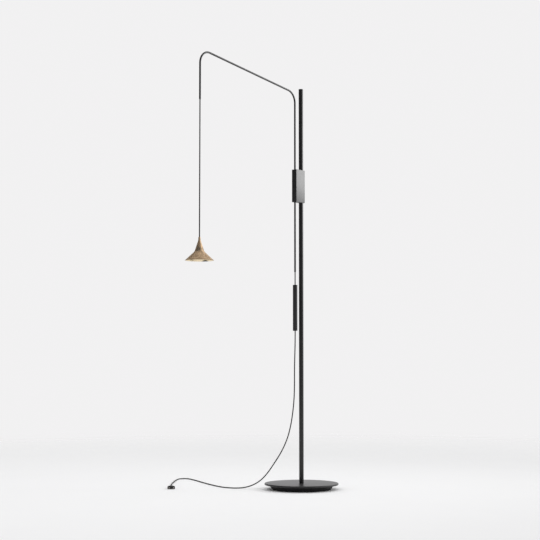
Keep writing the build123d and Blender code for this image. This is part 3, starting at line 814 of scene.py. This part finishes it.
def smooth_line(points):
    """Points read from the NURBS line that takes a route's points as its control points."""
    curve = bpy.data.curves.new("route", "CURVE")
    curve.dimensions = "3D"
    spline = curve.splines.new("NURBS")
    spline.points.add(len(points) - 1)
    for control, point in zip(spline.points, points):
        control.co = (*point, 1.0)
    spline.order_u = 3
    spline.use_endpoint_u = True
    spline.resolution_u = bpy.context.scene.lamp_counts.cord_steps
    line = plain_mesh(linked("route", curve), "route")
    found = [vertex.co.copy() for vertex in line.vertices]
    bpy.data.meshes.remove(line)
    return found


def cord_mesh(name, line, radius, domes=(False, False)):
    """A closed tube along a line, whose UV map counts turns round it and girths along it."""
    counts = bpy.context.scene.lamp_counts
    last = len(line) - 1
    ways = [(line[min(i + 1, last)] - line[max(i - 1, 0)]).normalized() for i in range(last + 1)]
    side = ways[0].orthogonal().normalized()
    gone = 0.0
    stations = []
    for index, point in enumerate(line):
        if index:
            side.rotate(ways[index - 1].rotation_difference(ways[index]))
            gone += (point - line[index - 1]).length
        stations.append((point, side.copy(), ways[index], radius, gone))
    slopes = [pi / 2 * step / counts.arc_steps for step in range(1, counts.arc_steps)]
    for sign, domed in zip((-1, 1), domes):
        point, side, way, _, gone = stations[0 if sign < 0 else -1]
        out = sign * way * radius
        end = [(point + out * sin(a), side, way, radius * cos(a), gone + sign * radius * a)
               for a in slopes if domed]
        level = end[-1][4] if domed else gone
        end.append((point + out if domed else point, side, way, 0.0, level))
        stations = end[::-1] + stations if sign < 0 else stations + end
    rings = []
    for point, side, way, ring_r, _ in stations:
        up = way.cross(side)
        turns = around(counts.cord_sides if ring_r else 1)
        rings.append([point + ring_r * (side * cos(turn) + up * sin(turn)) for turn in turns])
    girth = 2 * pi * radius
    mesh = skin(name, rings, [gone / girth for *_, gone in stations])
    mesh.shade_smooth()
    mesh.set_sharp_from_angle(angle=radians(50))
    return mesh


class LAMP_OT_stage(Operator):
    """Camera, pale floor, backdrop and soft studio light"""

    bl_idname = "lamp.stage"
    bl_label = "Stage"

    def execute(self, context):
        stage = context.scene.lamp_stage
        self.camera(context.scene, stage)
        self.floor(stage, context.scene.lamp_counts.round_sides)
        self.world(context.scene, stage)
        self.flag(stage)
        self.key_light(stage)
        return {"FINISHED"}

    def camera(self, scene, stage):
        data = bpy.data.cameras.new("camera")
        data.lens = stage.focal
        data.sensor_width = 36.0
        camera = linked("camera", data)
        camera.location = stage.eye
        camera.rotation_euler = (pi / 2 + stage.pitch, 0, -stage.heading)
        scene.camera = camera

    def floor(self, stage, sides):
        """A pale disc that fades into the backdrop."""
        mesh = bpy.data.meshes.new("floor")
        mesh.from_pydata(circle(stage.floor_end, sides), [], [range(sides)])
        surface = Surface("floor_paint")
        far = surface.reach(surface.place()).between(stage.floor_fade, stage.floor_end)
        drift = surface.noise(surface.place(), 3.0)
        paint = surface.add("ShaderNodeBsdfPrincipled", {}, {
            "Base Color": surface.shade(drift, tuple(stage.floor), 0.99, 1.01),
            "Roughness": 0.85, "Specular IOR Level": 0.1,
        })
        clear = surface.add("ShaderNodeBsdfTransparent")
        sockets = {0: far, 1: paint.outputs[0], 2: clear.outputs[0]}
        both = surface.add("ShaderNodeMixShader", {}, sockets)
        surface.add("ShaderNodeOutputMaterial", {}, {"Surface": both.outputs[0]})
        mesh.materials.append(surface.material)
        linked("floor", mesh)

    def world(self, scene, stage):
        """Even light from all round, and the backdrop for what the camera, gloss and glass see."""
        world = bpy.data.worlds.new("studio")
        world.use_nodes = True
        world.node_tree.nodes.clear()
        maker = NodeMaker(world.node_tree)
        rays = maker.add("ShaderNodeLightPath")
        camera, glossy, through = (
            maker.number(rays, f"Is {kind} Ray") for kind in ("Camera", "Glossy", "Transmission")
        )
        seen = camera.larger(glossy).larger(through)
        sockets = {"Color": (1, 1, 1, 1), "Strength": stage.ambient}
        light = maker.add("ShaderNodeBackground", {}, sockets)
        sockets = {"Color": (*stage.backdrop, 1), "Strength": 1.0}
        pale = maker.add("ShaderNodeBackground", {}, sockets)
        sockets = {0: seen, 1: light.outputs[0], 2: pale.outputs[0]}
        both = maker.add("ShaderNodeMixShader", {}, sockets)
        maker.add("ShaderNodeOutputWorld", {}, {"Surface": both.outputs[0]})
        scene.world = world
        scene.view_settings.view_transform = "Standard"

    def flag(self, stage):
        """A dark curved card from the left round behind the camera, as a studio has there."""
        steps = 32
        points, faces = [], []
        for step in range(steps + 1):
            turn = stage.flag_from + (stage.flag_to - stage.flag_from) * step / steps
            across, deep = stage.flag_reach * cos(turn), stage.flag_reach * sin(turn)
            points += [(across, deep, 0), (across, deep, stage.flag_h)]
        for low in range(0, 2 * steps, 2):
            faces.append((low, low + 1, low + 3, low + 2))
        mesh = bpy.data.meshes.new("flag")
        mesh.from_pydata(points, [], faces)
        surface = Surface("flag_cloth")
        weave = surface.noise(surface.place(), 40.0)
        mesh.materials.append(surface.finish({
            "Base Color": surface.shade(weave, tuple(stage.flag), 0.95, 1.05),
            "Roughness": 1.0, "Specular IOR Level": 0.0,
        }))
        flag = linked("flag", mesh)
        flag.visible_camera = False
        flag.visible_diffuse = False
        flag.visible_shadow = False

    def key_light(self, stage):
        """One soft light that faces the block."""
        low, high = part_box("clamp_block")
        aim = (low + high) / 2
        place = aim + stage.key_distance * Vector(stage.key_way)
        data = bpy.data.lights.new("key_light", "AREA")
        data.shape = "RECTANGLE"
        data.size, data.size_y = stage.key_w, stage.key_h
        data.spread = stage.key_spread
        # A narrowed light is brighter on its axis, so the gain is taken out of its energy
        half = stage.key_spread / 2
        gain = tan(half) / (tan(half) - half)
        data.energy = stage.key_radiance * pi * stage.key_w * stage.key_h / gain
        light = linked("key_light", data)
        light.location = place
        light.rotation_euler = (aim - place).to_track_quat("-Z", "Y").to_euler()
        light.visible_camera = False


class LAMP_OT_plug(Operator):
    """Two-pin plug with its ribbed relief, at the far end of the mains cord"""

    bl_idname = "lamp.plug"
    bl_label = "Plug"

    def execute(self, context):
        sizes, counts = context.scene.lamp_sizes, context.scene.lamp_counts
        self.start, before = (Vector(MAINS_ROUTE_MM[index]) * MM for index in (-1, -2))
        self.way = (self.start - before).normalized()
        self.across = UP.cross(self.way)
        body = self.body(sizes.relief_l, sizes.plug_l, counts)
        piece("plug_moulding", body, "clamp", "plug_body", "plug_plastic")
        gap, lap = 0.8 * MM, 1.2 * MM
        ends = [self.at(gap), self.at(sizes.relief_l + lap)]
        inputs = {
            "Small": 2.6 * MM, "Large": 4.0 * MM, "Rib": 0.75 * MM, "Ribs": counts.relief_ribs,
            "Sides": counts.pin_sides, "Rib sides": counts.wire_sides,
            "Material": material("plug_plastic"),
        }
        relief = grow("plug_ribs", ribbed_relief_tree(), ends, [(0, 1)], inputs)
        piece("plug_ribs", relief, "clamp", "plug_relief")
        pins = self.pins(sizes.relief_l + sizes.plug_l, sizes.pin_l, counts.pin_sides)
        piece("plug_contacts", pins, "clamp", "plug_pins")
        return {"FINISHED"}

    def at(self, distance):
        """The point on the plug's axis at a distance from the cord's end."""
        return self.start + self.way * distance

    def ring(self, distance, width, height, sides, squareness):
        """A rounded oblong that stands square to the plug's axis."""
        points = []
        for turn in around(sides):
            x, y = cos(turn), sin(turn)
            reach = (abs(x) ** squareness + abs(y) ** squareness) ** (-1 / squareness)
            sideways = self.across * (width / 2 * x * reach)
            points.append(self.at(distance) + sideways + UP * (height / 2 * y * reach))
        return points

    def body(self, first, span, counts):
        """A moulding that widens from the relief to the pins, with a hollow for the fingers."""
        back_w, front_w, height, edge = 15 * MM, 33 * MM, 14 * MM, 1.6 * MM
        hollow_depth, hollow_share, dimple = 1.3 * MM, 0.75, 0.1 * MM
        rings = [[self.at(first + dimple)]]
        for index in range(counts.plug_steps):
            ratio = index / (counts.plug_steps - 1)
            from_end = min(ratio, 1 - ratio) * span
            inset = edge - (edge ** 2 - max(0.0, edge - from_end) ** 2) ** 0.5
            eased = 3 * ratio ** 2 - 2 * ratio ** 3
            width = back_w + (front_w - back_w) * eased - 2 * inset
            hollow = hollow_depth * sin(pi * min(1.0, ratio / hollow_share)) ** 2
            tall = height - 2 * inset - 2 * hollow
            squareness = 3.0 + 2.5 * ratio
            rings.append(self.ring(first + ratio * span, width, tall, counts.small_sides, squareness))
        rings.append([self.at(first + span)])
        return tidy(skin("plug_moulding", rings), radians(45))

    def pins(self, face, span, sides):
        """Two pins, each with a sleeved root and a rounded metal tip."""
        pitch, pin_r, tip_r = 18.6 * MM, 2.0 * MM, 1.84 * MM
        root, sleeve, tip_root = -4 * MM, 10 * MM, 9 * MM
        sections = {
            "Material": [(0, root, 0), (pin_r, root, 0), (pin_r, sleeve, 0.2 * MM), (0, sleeve, 0)],
            "Tip": [(0, tip_root, 0), (tip_r, tip_root, 0), (tip_r, span, 1.2 * MM), (0, span, 0)],
        }
        tree = GeometryTree("plug_pins", {"Tip": "Material"})
        turn = UP.rotation_difference(self.way).to_matrix().to_4x4()
        holders, parts = [], []
        for paint, corners in sections.items():
            mesh = lathe("pin", corners, sides=sides)
            mesh.transform(turn)
            holders.append(linked("pin", mesh))
            info = tree.add("GeometryNodeObjectInfo", {}, {"Object": holders[-1]})
            sockets = {"Points": tree.given["Geometry"], "Instance": info.outputs["Geometry"]}
            copies = tree.shape("GeometryNodeInstanceOnPoints", {}, sockets)
            parts.append(tree.painted(copies, tree.given[paint]))
        tree.close(tree.joined(parts))
        roots = [self.at(face) + self.across * pitch * half for half in (-0.5, 0.5)]
        inputs = {"Material": material("plug_plastic"), "Tip": material("nickel_plate")}
        mesh = grow("plug_contacts", tree.tree, roots, [], inputs)
        for holder in holders:
            bpy.data.objects.remove(holder)
        return mesh


class LAMP_OT_cords(Operator):
    """Mains cord, driver lead and hanging cord, as braided tubes"""

    bl_idname = "lamp.cords"
    bl_label = "Cords"

    def execute(self, context):
        sizes = context.scene.lamp_sizes
        radius = sizes.cord_d / 2
        self.mains(sizes, radius)
        self.lead(sizes, radius)
        self.pendant(sizes, radius)
        return {"FINISHED"}

    def mains(self, sizes, radius):
        """From the driver to the plug on the floor."""
        route = [Vector(point) * MM for point in MAINS_ROUTE_MM]
        line = smooth_line(route)
        cord = dressed("mains_cord", cord_mesh("mains_cord", line, radius), "braided_cord")
        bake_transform(cord)
        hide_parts("mains_cord_drop", "mains_cord_floor")

    def lead(self, sizes, radius):
        """From the tube's foot into the driver."""
        axis_x = turned("driver_lead")[0]
        exit_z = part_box("tube_ferrule")[0].z
        entry_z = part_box("driver_top_cap")[1].z
        heights = [exit_z + radius, exit_z, (exit_z + entry_z) / 2, entry_z, entry_z - radius]
        line = smooth_line([Vector((axis_x, 0, height)) for height in heights])
        mesh = cord_mesh("driver_cord", line, radius)
        cord = piece("driver_cord", mesh, "lift", "driver_lead", "braided_cord")

    def pendant(self, sizes, radius):
        """From the arm's tip to the head's pivot, and on into the head."""
        pivot = next(Vector(j["pos_m"]) for j in frame["joints"] if j["name"] == "head_tilt")
        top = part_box("tip_bush")[0].z
        hung = top - pivot.z
        # Shares of the hung length, close together below the tip, where the cord bends
        stations = [0.0, 0.02, 0.045, 0.08, 0.13, 0.25, 0.5, 0.75, 1.0]
        line = smooth_line([Vector((pivot.x, 0, top - hung * station)) for station in stations])
        mesh = cord_mesh("hanging_cord", line, radius, (False, True))
        cord = dressed("hanging_cord", mesh, "braided_cord")
        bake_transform(cord)
        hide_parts("pendant_cord")
        end_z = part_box("head_lead")[0].z
        heights = [pivot.z, (pivot.z + end_z) / 2, end_z]
        line = [Vector((pivot.x, 0, height)) for height in heights]
        mesh = cord_mesh("head_cord_end", line, radius, (True, False))
        piece("head_cord_end", mesh, "head", "head_lead", "braided_cord")


class LAMP_OT_base(Operator):
    """Cover, ballast and floor pad"""

    bl_idname = "lamp.base"
    bl_label = "Base"

    def execute(self, context):
        sizes = context.scene.lamp_sizes
        sides = context.scene.lamp_counts.wide_sides
        _, cover_r, rim_foot, cover_top = turned("base_cover")
        _, ballast_r, ballast_foot, ballast_top = turned("base_ballast")
        _, pad_r, pad_foot, pad_top = turned("floor_pad")
        hole, edge = sizes.bolt_hole_r, sizes.edge
        rim_in = cover_r - sizes.cover_rim_w
        turned_piece("cover_dish", "stand", "base_cover", "powder_coat", [
            (hole, ballast_top, 0), (rim_in, ballast_top, edge), (rim_in, rim_foot, edge),
            (cover_r, rim_foot, sizes.cover_edge), (cover_r, cover_top, sizes.cover_edge),
            (hole, cover_top, 0),
        ], sides=sides)
        pocket_r, pocket_top = sizes.bolt_pocket_r, ballast_foot + sizes.bolt_pocket_h
        turned_piece("ballast_casting", "stand", "base_ballast", "ballast_paint", [
            (pocket_r, ballast_foot, edge), (pad_r + sizes.pad_inset, ballast_foot, 2 * edge),
            (ballast_r, rim_foot, 2 * edge), (ballast_r, ballast_top, edge), (hole, ballast_top, 0),
            (hole, pocket_top, 0), (pocket_r, pocket_top, edge),
        ], sides=sides)
        turned_piece("foot_pad", "stand", "floor_pad", "pad_rubber", [
            (0, pad_foot, 0), (pad_r, pad_foot, edge), (pad_r, pad_top, edge), (0, pad_top, 0),
        ], sides=sides)
        return {"FINISHED"}


class LAMP_OT_pole(Operator):
    """Pole with its groove, and the cap on top"""

    bl_idname = "lamp.pole"
    bl_label = "Pole"

    def execute(self, context):
        sizes = context.scene.lamp_sizes
        _, radius, foot, top = turned("pole")
        inner, edge = radius - sizes.pole_wall, sizes.edge
        block_low, block_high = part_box("clamp_block")
        groove_r = radius - sizes.groove_depth
        groove_z, half = (block_low.z + block_high.z) / 2, sizes.groove_h / 2
        turned_piece("pole_tube", "stand", "pole", "powder_coat", [
            (inner, foot, 0), (radius, foot, edge),
            (radius, groove_z - half, 0), (groove_r, groove_z - half, 0),
            (groove_r, groove_z + half, 0), (radius, groove_z + half, 0),
            (radius, top, edge / 2), (inner, top, 0),
        ])
        _, cap_r, spigot_foot, cap_top = turned("pole_cap")
        turned_piece("pole_top", "stand", "pole_cap", "powder_coat", [
            (0, spigot_foot, 0), (inner, spigot_foot, edge), (inner, top, 0), (cap_r, top, edge / 2),
            (cap_r, cap_top, 2 * edge), (0, cap_top, 0),
        ])
        return {"FINISHED"}


class LAMP_OT_block(Operator):
    """Clamp block with its bushes, the plug of its cross bore and the friction spring"""

    bl_idname = "lamp.block"
    bl_label = "Clamp block"

    def execute(self, context):
        sizes, counts = context.scene.lamp_sizes, context.scene.lamp_counts
        low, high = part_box("clamp_block")
        middle_z = (low.z + high.z) / 2
        bores = [turned("pole_bush_lower")[:2], turned("tube_bush_lower")[:2]]
        plug_low, plug_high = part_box("bore_plug")
        bore_r, bore_x = (plug_high.y - plug_low.y) / 2, bores[1][0]
        block = self.profile(low, high, bores, sizes, counts)
        depth = high.x + 4 * sizes.edge - bore_x
        block = drill(block, bore_r, depth, self.across(bore_x, middle_z))
        piece("block_body", block, "clamp", "clamp_block", "satin_coat")
        edge = sizes.edge / 2
        for name in ("pole_bush_lower", "pole_bush_upper", "tube_bush_lower", "tube_bush_upper"):
            axis_x, radius, foot, top = turned(name)
            inner = radius - sizes.bush_wall
            turned_piece(f"{name}_sleeve", "clamp", name, "black_nylon", [
                (inner, foot, edge), (radius, foot, edge), (radius, top, edge), (inner, top, edge),
            ], axis_x)
        span = plug_high.x - plug_low.x
        corners = [(0, 0, 0), (bore_r, 0, 0), (bore_r, span, sizes.edge), (0, span, 0)]
        plug = lathe("bore_disc", corners, sides=counts.tube_sides)
        plug.transform(self.across(plug_low.x, middle_z))
        piece("bore_disc", plug, "clamp", "bore_plug", "satin_coat")
        spring_low, spring_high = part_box("friction_spring")
        wire_r = sizes.spring_wire_r
        inputs = {
            "Radius": (spring_high.y - spring_low.y) / 2 - wire_r, "Wire": wire_r,
            "Height": spring_high.x - spring_low.x - 2 * wire_r, "Turns": float(counts.spring_turns),
            "Steps": counts.coil_steps, "Sides": counts.wire_sides, "Material": material("zinc_plate"),
        }
        spring = grow("friction_coil", coil_spring_tree(), [(0, 0, 0)], [], inputs)
        spring.transform(self.across(spring_low.x + wire_r, middle_z))
        piece("friction_coil", spring, "clamp", "friction_spring")
        return {"FINISHED"}

    def across(self, x, z):
        """The place of what lies in the cross bore: its Z runs along +X."""
        return Matrix.Translation((x, 0, z)) @ Matrix.Rotation(pi / 2, 4, "Y")

    def profile(self, low, high, bores, sizes, counts):
        """The block's plan with both bores, raised to its height with broken edges."""
        curve = bpy.data.curves.new("block_body", "CURVE")
        curve.dimensions = "2D"
        curve.fill_mode = "BOTH"
        curve.extrude = (high.z - low.z) / 2 - sizes.edge
        curve.bevel_depth = sizes.edge
        curve.bevel_resolution = 3
        curve.offset = -sizes.edge
        corners = ((low.x, -high.y), (high.x, -high.y), (high.x, high.y), (low.x, high.y))
        rings = [outline([(*corner, sizes.block_corner) for corner in corners], counts.arc_steps)]
        rings += [circle(radius, counts.round_sides, axis_x) for axis_x, radius in bores]
        for ring in rings:
            spline = curve.splines.new("POLY")
            spline.points.add(len(ring) - 1)
            spline.use_cyclic_u = True
            for control, point in zip(spline.points, ring):
                control.co = (point[0], point[1], 0, 1)
        mesh = plain_mesh(linked("block_body", curve), "block_body")
        mesh.transform(Matrix.Translation((0, 0, (low.z + high.z) / 2)))
        return tidy(mesh)


class LAMP_OT_arm(Operator):
    """Bent arm tube, its tip bush and the ferrule in its foot"""

    bl_idname = "lamp.arm"
    bl_label = "Arm"

    def execute(self, context):
        sizes, counts = context.scene.lamp_sizes, context.scene.lamp_counts
        axis_x, tube_r, _, _ = turned("tube_ferrule")
        tip_x, _, tip_foot, _ = turned("tip_bush")
        flange, edge, shoulder_z = sizes.collar_flange, sizes.edge, sizes.arm_shoulder_z
        foot_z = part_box("arm_tube")[0].z
        corner_z = shoulder_z + (axis_x - tip_x) * tan(sizes.arm_rise)
        points = [
            (axis_x, 0, foot_z), (axis_x, 0, shoulder_z), (tip_x, 0, corner_z),
            (tip_x, 0, tip_foot + flange),
        ]
        inputs = {
            "Radius": tube_r, "Bend": sizes.arm_bend_r, "Steps": counts.bend_steps,
            "Sides": counts.tube_sides, "Material": material("powder_coat"),
        }
        wall = grow("arm_wall", bent_tube_tree(), points, [(0, 1), (1, 2), (2, 3)], inputs)
        piece("arm_pipe", self.thickened(wall, sizes.tube_wall), "arm", "arm_tube")
        cord_play, tube_play = 0.1 * MM, 0.05 * MM
        hole = sizes.cord_d / 2 + cord_play
        collars = (("tip_collar", "arm", "tip_bush"), ("foot_collar", "lift", "tube_ferrule"))
        for name, body, node in collars:
            x, radius, foot, top = turned(node)
            spigot = radius - sizes.tube_wall - tube_play
            turned_piece(name, body, node, "black_nylon", [
                (hole, foot, edge / 2), (radius, foot, 1.6 * edge), (radius, foot + flange, edge / 5),
                (spigot, foot + flange, 0), (spigot, top, edge / 2), (hole, top, 0),
            ], x, counts.tube_sides)
        return {"FINISHED"}

    def thickened(self, mesh, wall):
        """The swept skin with its real wall, closed at both ends."""
        carrier = linked("arm_pipe", mesh)
        modifier = carrier.modifiers.new("wall", "SOLIDIFY")
        modifier.thickness = wall
        modifier.offset = -1.0
        made = plain_mesh(carrier, "arm_pipe")
        made.set_sharp_from_angle(angle=radians(40))
        return made


class LAMP_OT_driver(Operator):
    """Driver housing, its caps and glands, and the push-button"""

    bl_idname = "lamp.driver"
    bl_label = "Driver"

    def execute(self, context):
        sizes, sides = context.scene.lamp_sizes, context.scene.lamp_counts.small_sides
        axis_x, radius, foot, top = turned("driver_housing")
        inner, edge, cord_r = radius - sizes.driver_wall, sizes.edge, sizes.cord_d / 2
        low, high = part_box("switch_button")
        button_z = (low.z + high.z) / 2
        near, play = 8 * MM, 0.12 * MM
        below, above = button_z - near, button_z + near
        housing = lathe("driver_shell", [
            (inner, foot, 0), (radius, foot, edge / 3), (radius, below, 0), (radius, above, 0),
            (radius, top, edge / 3), (inner, top, 0), (inner, above, 0), (inner, below, 0),
        ], axis_x)
        place = Matrix.Translation((axis_x, 0, button_z)) @ Matrix.Rotation(-pi / 2, 4, "X")
        shell = drill(housing, sizes.button_r + play, 2 * radius, place)
        piece("driver_shell", shell, "lift", "driver_housing", "driver_coat")
        for name, gland_node, inward in (("top", "lead_gland", -1), ("bottom", "mains_gland", 1)):
            cap_node = f"driver_{name}_cap"
            face, back = (corner.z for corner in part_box(cap_node)[::inward])
            joint = face + inward * sizes.cap_t
            gland_r = turned(gland_node)[1]
            turned_piece(f"{name}_cap", "lift", cap_node, "driver_coat", [
                (gland_r, face, edge / 2), (radius, face, 2 * edge), (radius, joint, edge / 3),
                (inner, joint, 0), (inner, back, edge), (gland_r, back, 0),
            ], axis_x)
            turned_piece(f"{name}_gland", "lift", gland_node, "black_nylon", [
                (cord_r, face, edge), (gland_r, face, edge), (gland_r, back, 0), (cord_r, back, 0),
            ], axis_x, sides)
        button = self.button(low.y, high.y, (high.x - low.x) / 2, sizes.button_r, edge, sides)
        button.transform(place)
        piece("button_cap", button, "button", "switch_button", "button_plastic")
        return {"FINISHED"}

    def button(self, root, face, flange_r, stem_r, edge, sides):
        """A stem with a dished face, on the flange that keeps it in the housing."""
        flange = root + 1.5 * MM
        dish = face - 0.25 * MM
        return lathe("button_cap", [
            (0, root, 0), (flange_r, root, edge / 2), (flange_r, flange, edge / 2),
            (stem_r, flange, 0), (stem_r, face, edge), (0.7 * stem_r, face, edge / 2),
            (0.5 * stem_r, dish, edge / 2), (0, dish, 0),
        ], sides=sides)


class LAMP_OT_head(Operator):
    """Cast bell with its lens and retaining ring"""

    bl_idname = "lamp.head"
    bl_label = "Head"

    def execute(self, context):
        sizes = context.scene.lamp_sizes
        axis_x, rim_r, foot, top = turned("shade")
        self.bell(sizes, axis_x, rim_r, foot, top, context.scene.lamp_counts.bell_sides)
        self.optics(sizes.edge, axis_x)
        return {"FINISHED"}

    def bell(self, sizes, axis_x, rim_r, foot, top, sides):
        """A turned bell with a cast skin, of clean brass inside."""
        neck_r, neck_foot_r, neck_z, neck_rounding = 4.0 * MM, 5.2 * MM, top - 14 * MM, 22 * MM
        knee_r, knee_z = 19.7 * MM, top - 59 * MM
        cavity_z, cavity_rounding = top - 24 * MM, 2 * MM
        bore, bore_edge, neck_edge = sizes.cord_d / 2 + 0.3 * MM, 0.3 * MM, 0.9 * MM
        skirt_wall = 1.48 * sizes.shade_wall
        inner_knee_r = knee_r - 1.05 * sizes.shade_wall
        slope = (knee_r - neck_foot_r) / (neck_z - knee_z)
        roof_r = inner_knee_r - (cavity_z - knee_z) * slope
        lip, longest_run, smooth_reach = 0.7 * MM, 1.6 * MM, 6 * MM
        corners = [
            (bore, top, bore_edge), (neck_r, top, neck_edge), (neck_foot_r, neck_z, neck_rounding),
            (knee_r, knee_z, sizes.knee_rounding), (rim_r, foot + lip, lip / 3),
            (rim_r - lip / 2, foot, lip / 4), (rim_r - 1.6 * lip, foot, lip / 2),
            (rim_r - skirt_wall - lip, foot + 2.6 * lip, lip),
            (inner_knee_r, knee_z, sizes.knee_rounding), (roof_r, cavity_z, cavity_rounding),
            (bore, cavity_z, 0),
        ]
        mesh = lathe("bell", corners, axis_x, sides, longest_run)
        axis = Vector((axis_x, 0, 0))
        for vertex in mesh.vertices:
            place = vertex.co - axis
            out = Vector((place.x, place.y, 0))
            if out.length < 1.05 * bore:
                continue
            lump = noise.noise(place / sizes.cast_size)
            lump += 0.5 * noise.noise(place / (0.4 * sizes.cast_size))
            share = min(1.0, (out.length - bore) / smooth_reach)
            vertex.co += out.normalized() * (lump * sizes.cast_depth * share)
        for finish in ("aged_brass", "inner_brass"):
            mesh.materials.append(material(finish))
        for face in mesh.polygons:
            out = Vector((face.center.x - axis_x, face.center.y, 0)).normalized()
            inside = face.normal.dot(out) < -0.2 and face.center.z < cavity_z + 1 * MM
            face.material_index = int(inside)
        piece("bell", mesh, "head", "shade")

    def optics(self, edge, axis_x):
        """A domed lens and the sloped ring that holds it in the bell."""
        _, lens_r, lens_foot, lens_top = turned("lens")
        _, ring_r, ring_foot, ring_top = turned("retaining_ring")
        dome, steps = 2 * MM, 12
        shelf, seat_r, roof = lens_foot + dome, lens_r - 3 * MM, lens_top - 1.8 * MM
        slopes = [pi / 2 * step / steps for step in range(steps + 1)]
        turned_piece("lens_dome", "head", "lens", "frosted_lens", [
            *(((lens_r - dome) * sin(a), shelf - dome * cos(a), 0) for a in slopes),
            (lens_r, shelf, edge / 2), (lens_r, lens_top, edge / 2), (seat_r, lens_top, 0),
            (seat_r, roof, 0), (0, roof, 0),
        ], axis_x)
        inner, outer, slope = lens_r - 1.6 * MM, lens_r + 0.3 * MM, 1.04
        turned_piece("lens_bezel", "head", "retaining_ring", "black_nylon", [
            (outer, ring_top, 0), (ring_r - (ring_top - ring_foot) * slope, ring_top, 0),
            (ring_r, ring_foot, edge), (inner, ring_foot, edge), (inner, shelf, 0), (outer, shelf, 0),
        ], axis_x)


class LAMP_OT_inner_parts(Operator):
    """Finishes of the CAD nodes that stay as they are inside the lamp"""

    bl_idname = "lamp.inner_parts"
    bl_label = "Inner parts"

    finish_nodes = {
        "zinc_plate": ("pole_foot", "pole_bolt", "bolt_washer", "cover_screws"),
        "black_nylon": ("pole_pad", "tube_pad", "cord_grip"),
        "cord_sheath": ("arm_cord", "mains_tail"),
        "circuit_board": ("driver_board", "led_board"),
        "button_plastic": ("driver_components", "tact_switch"),
        "machined_aluminium": ("heat_sink",),
    }

    def execute(self, context):
        for finish, nodes in self.finish_nodes.items():
            for node in nodes:
                mesh = frame["nodes"][node].data
                mesh.materials.clear()
                mesh.materials.append(material(finish))
        return {"FINISHED"}


OPERATORS = (
    LAMP_OT_stage, LAMP_OT_plug, LAMP_OT_cords, LAMP_OT_base, LAMP_OT_pole, LAMP_OT_block, LAMP_OT_arm,
    LAMP_OT_driver, LAMP_OT_head, LAMP_OT_inner_parts,
)
GROUPS = {
    "lamp_sizes": LampSizes, "lamp_counts": LampCounts, "lamp_finish": LampFinish,
    "lamp_stage": LampStage,
}


class LAMP_PT_dresser(Panel):
    """The lamp's pieces, in the order in which they are built"""

    bl_idname = "LAMP_PT_dresser"
    bl_label = "Floor lamp"
    bl_space_type = "VIEW_3D"
    bl_region_type = "UI"
    bl_category = "Lamp"

    def draw(self, context):
        for operator in OPERATORS:
            self.layout.operator(operator.bl_idname)
        for name in GROUPS:
            group = getattr(context.scene, name)
            box = self.layout.box()
            for value in group.__annotations__:
                box.prop(group, value)


def register():
    for group in GROUPS.values():
        bpy.utils.register_class(group)
    for name, group in GROUPS.items():
        setattr(bpy.types.Scene, name, PointerProperty(type=group))
    for operator in OPERATORS:
        bpy.utils.register_class(operator)
    bpy.utils.register_class(LAMP_PT_dresser)


def unregister():
    bpy.utils.unregister_class(LAMP_PT_dresser)
    for operator in reversed(OPERATORS):
        bpy.utils.unregister_class(operator)
    for name, group in GROUPS.items():
        delattr(bpy.types.Scene, name)
        bpy.utils.unregister_class(group)


def main():
    """Register the classes and build the lamp in order."""
    register()
    bpy.ops.lamp.stage()
    bpy.ops.lamp.plug()
    bpy.ops.lamp.cords()
    bpy.ops.lamp.base()
    bpy.ops.lamp.pole()
    bpy.ops.lamp.block()
    bpy.ops.lamp.arm()
    bpy.ops.lamp.driver()
    bpy.ops.lamp.head()
    bpy.ops.lamp.inner_parts()


if __name__ == "__main__":
    main()
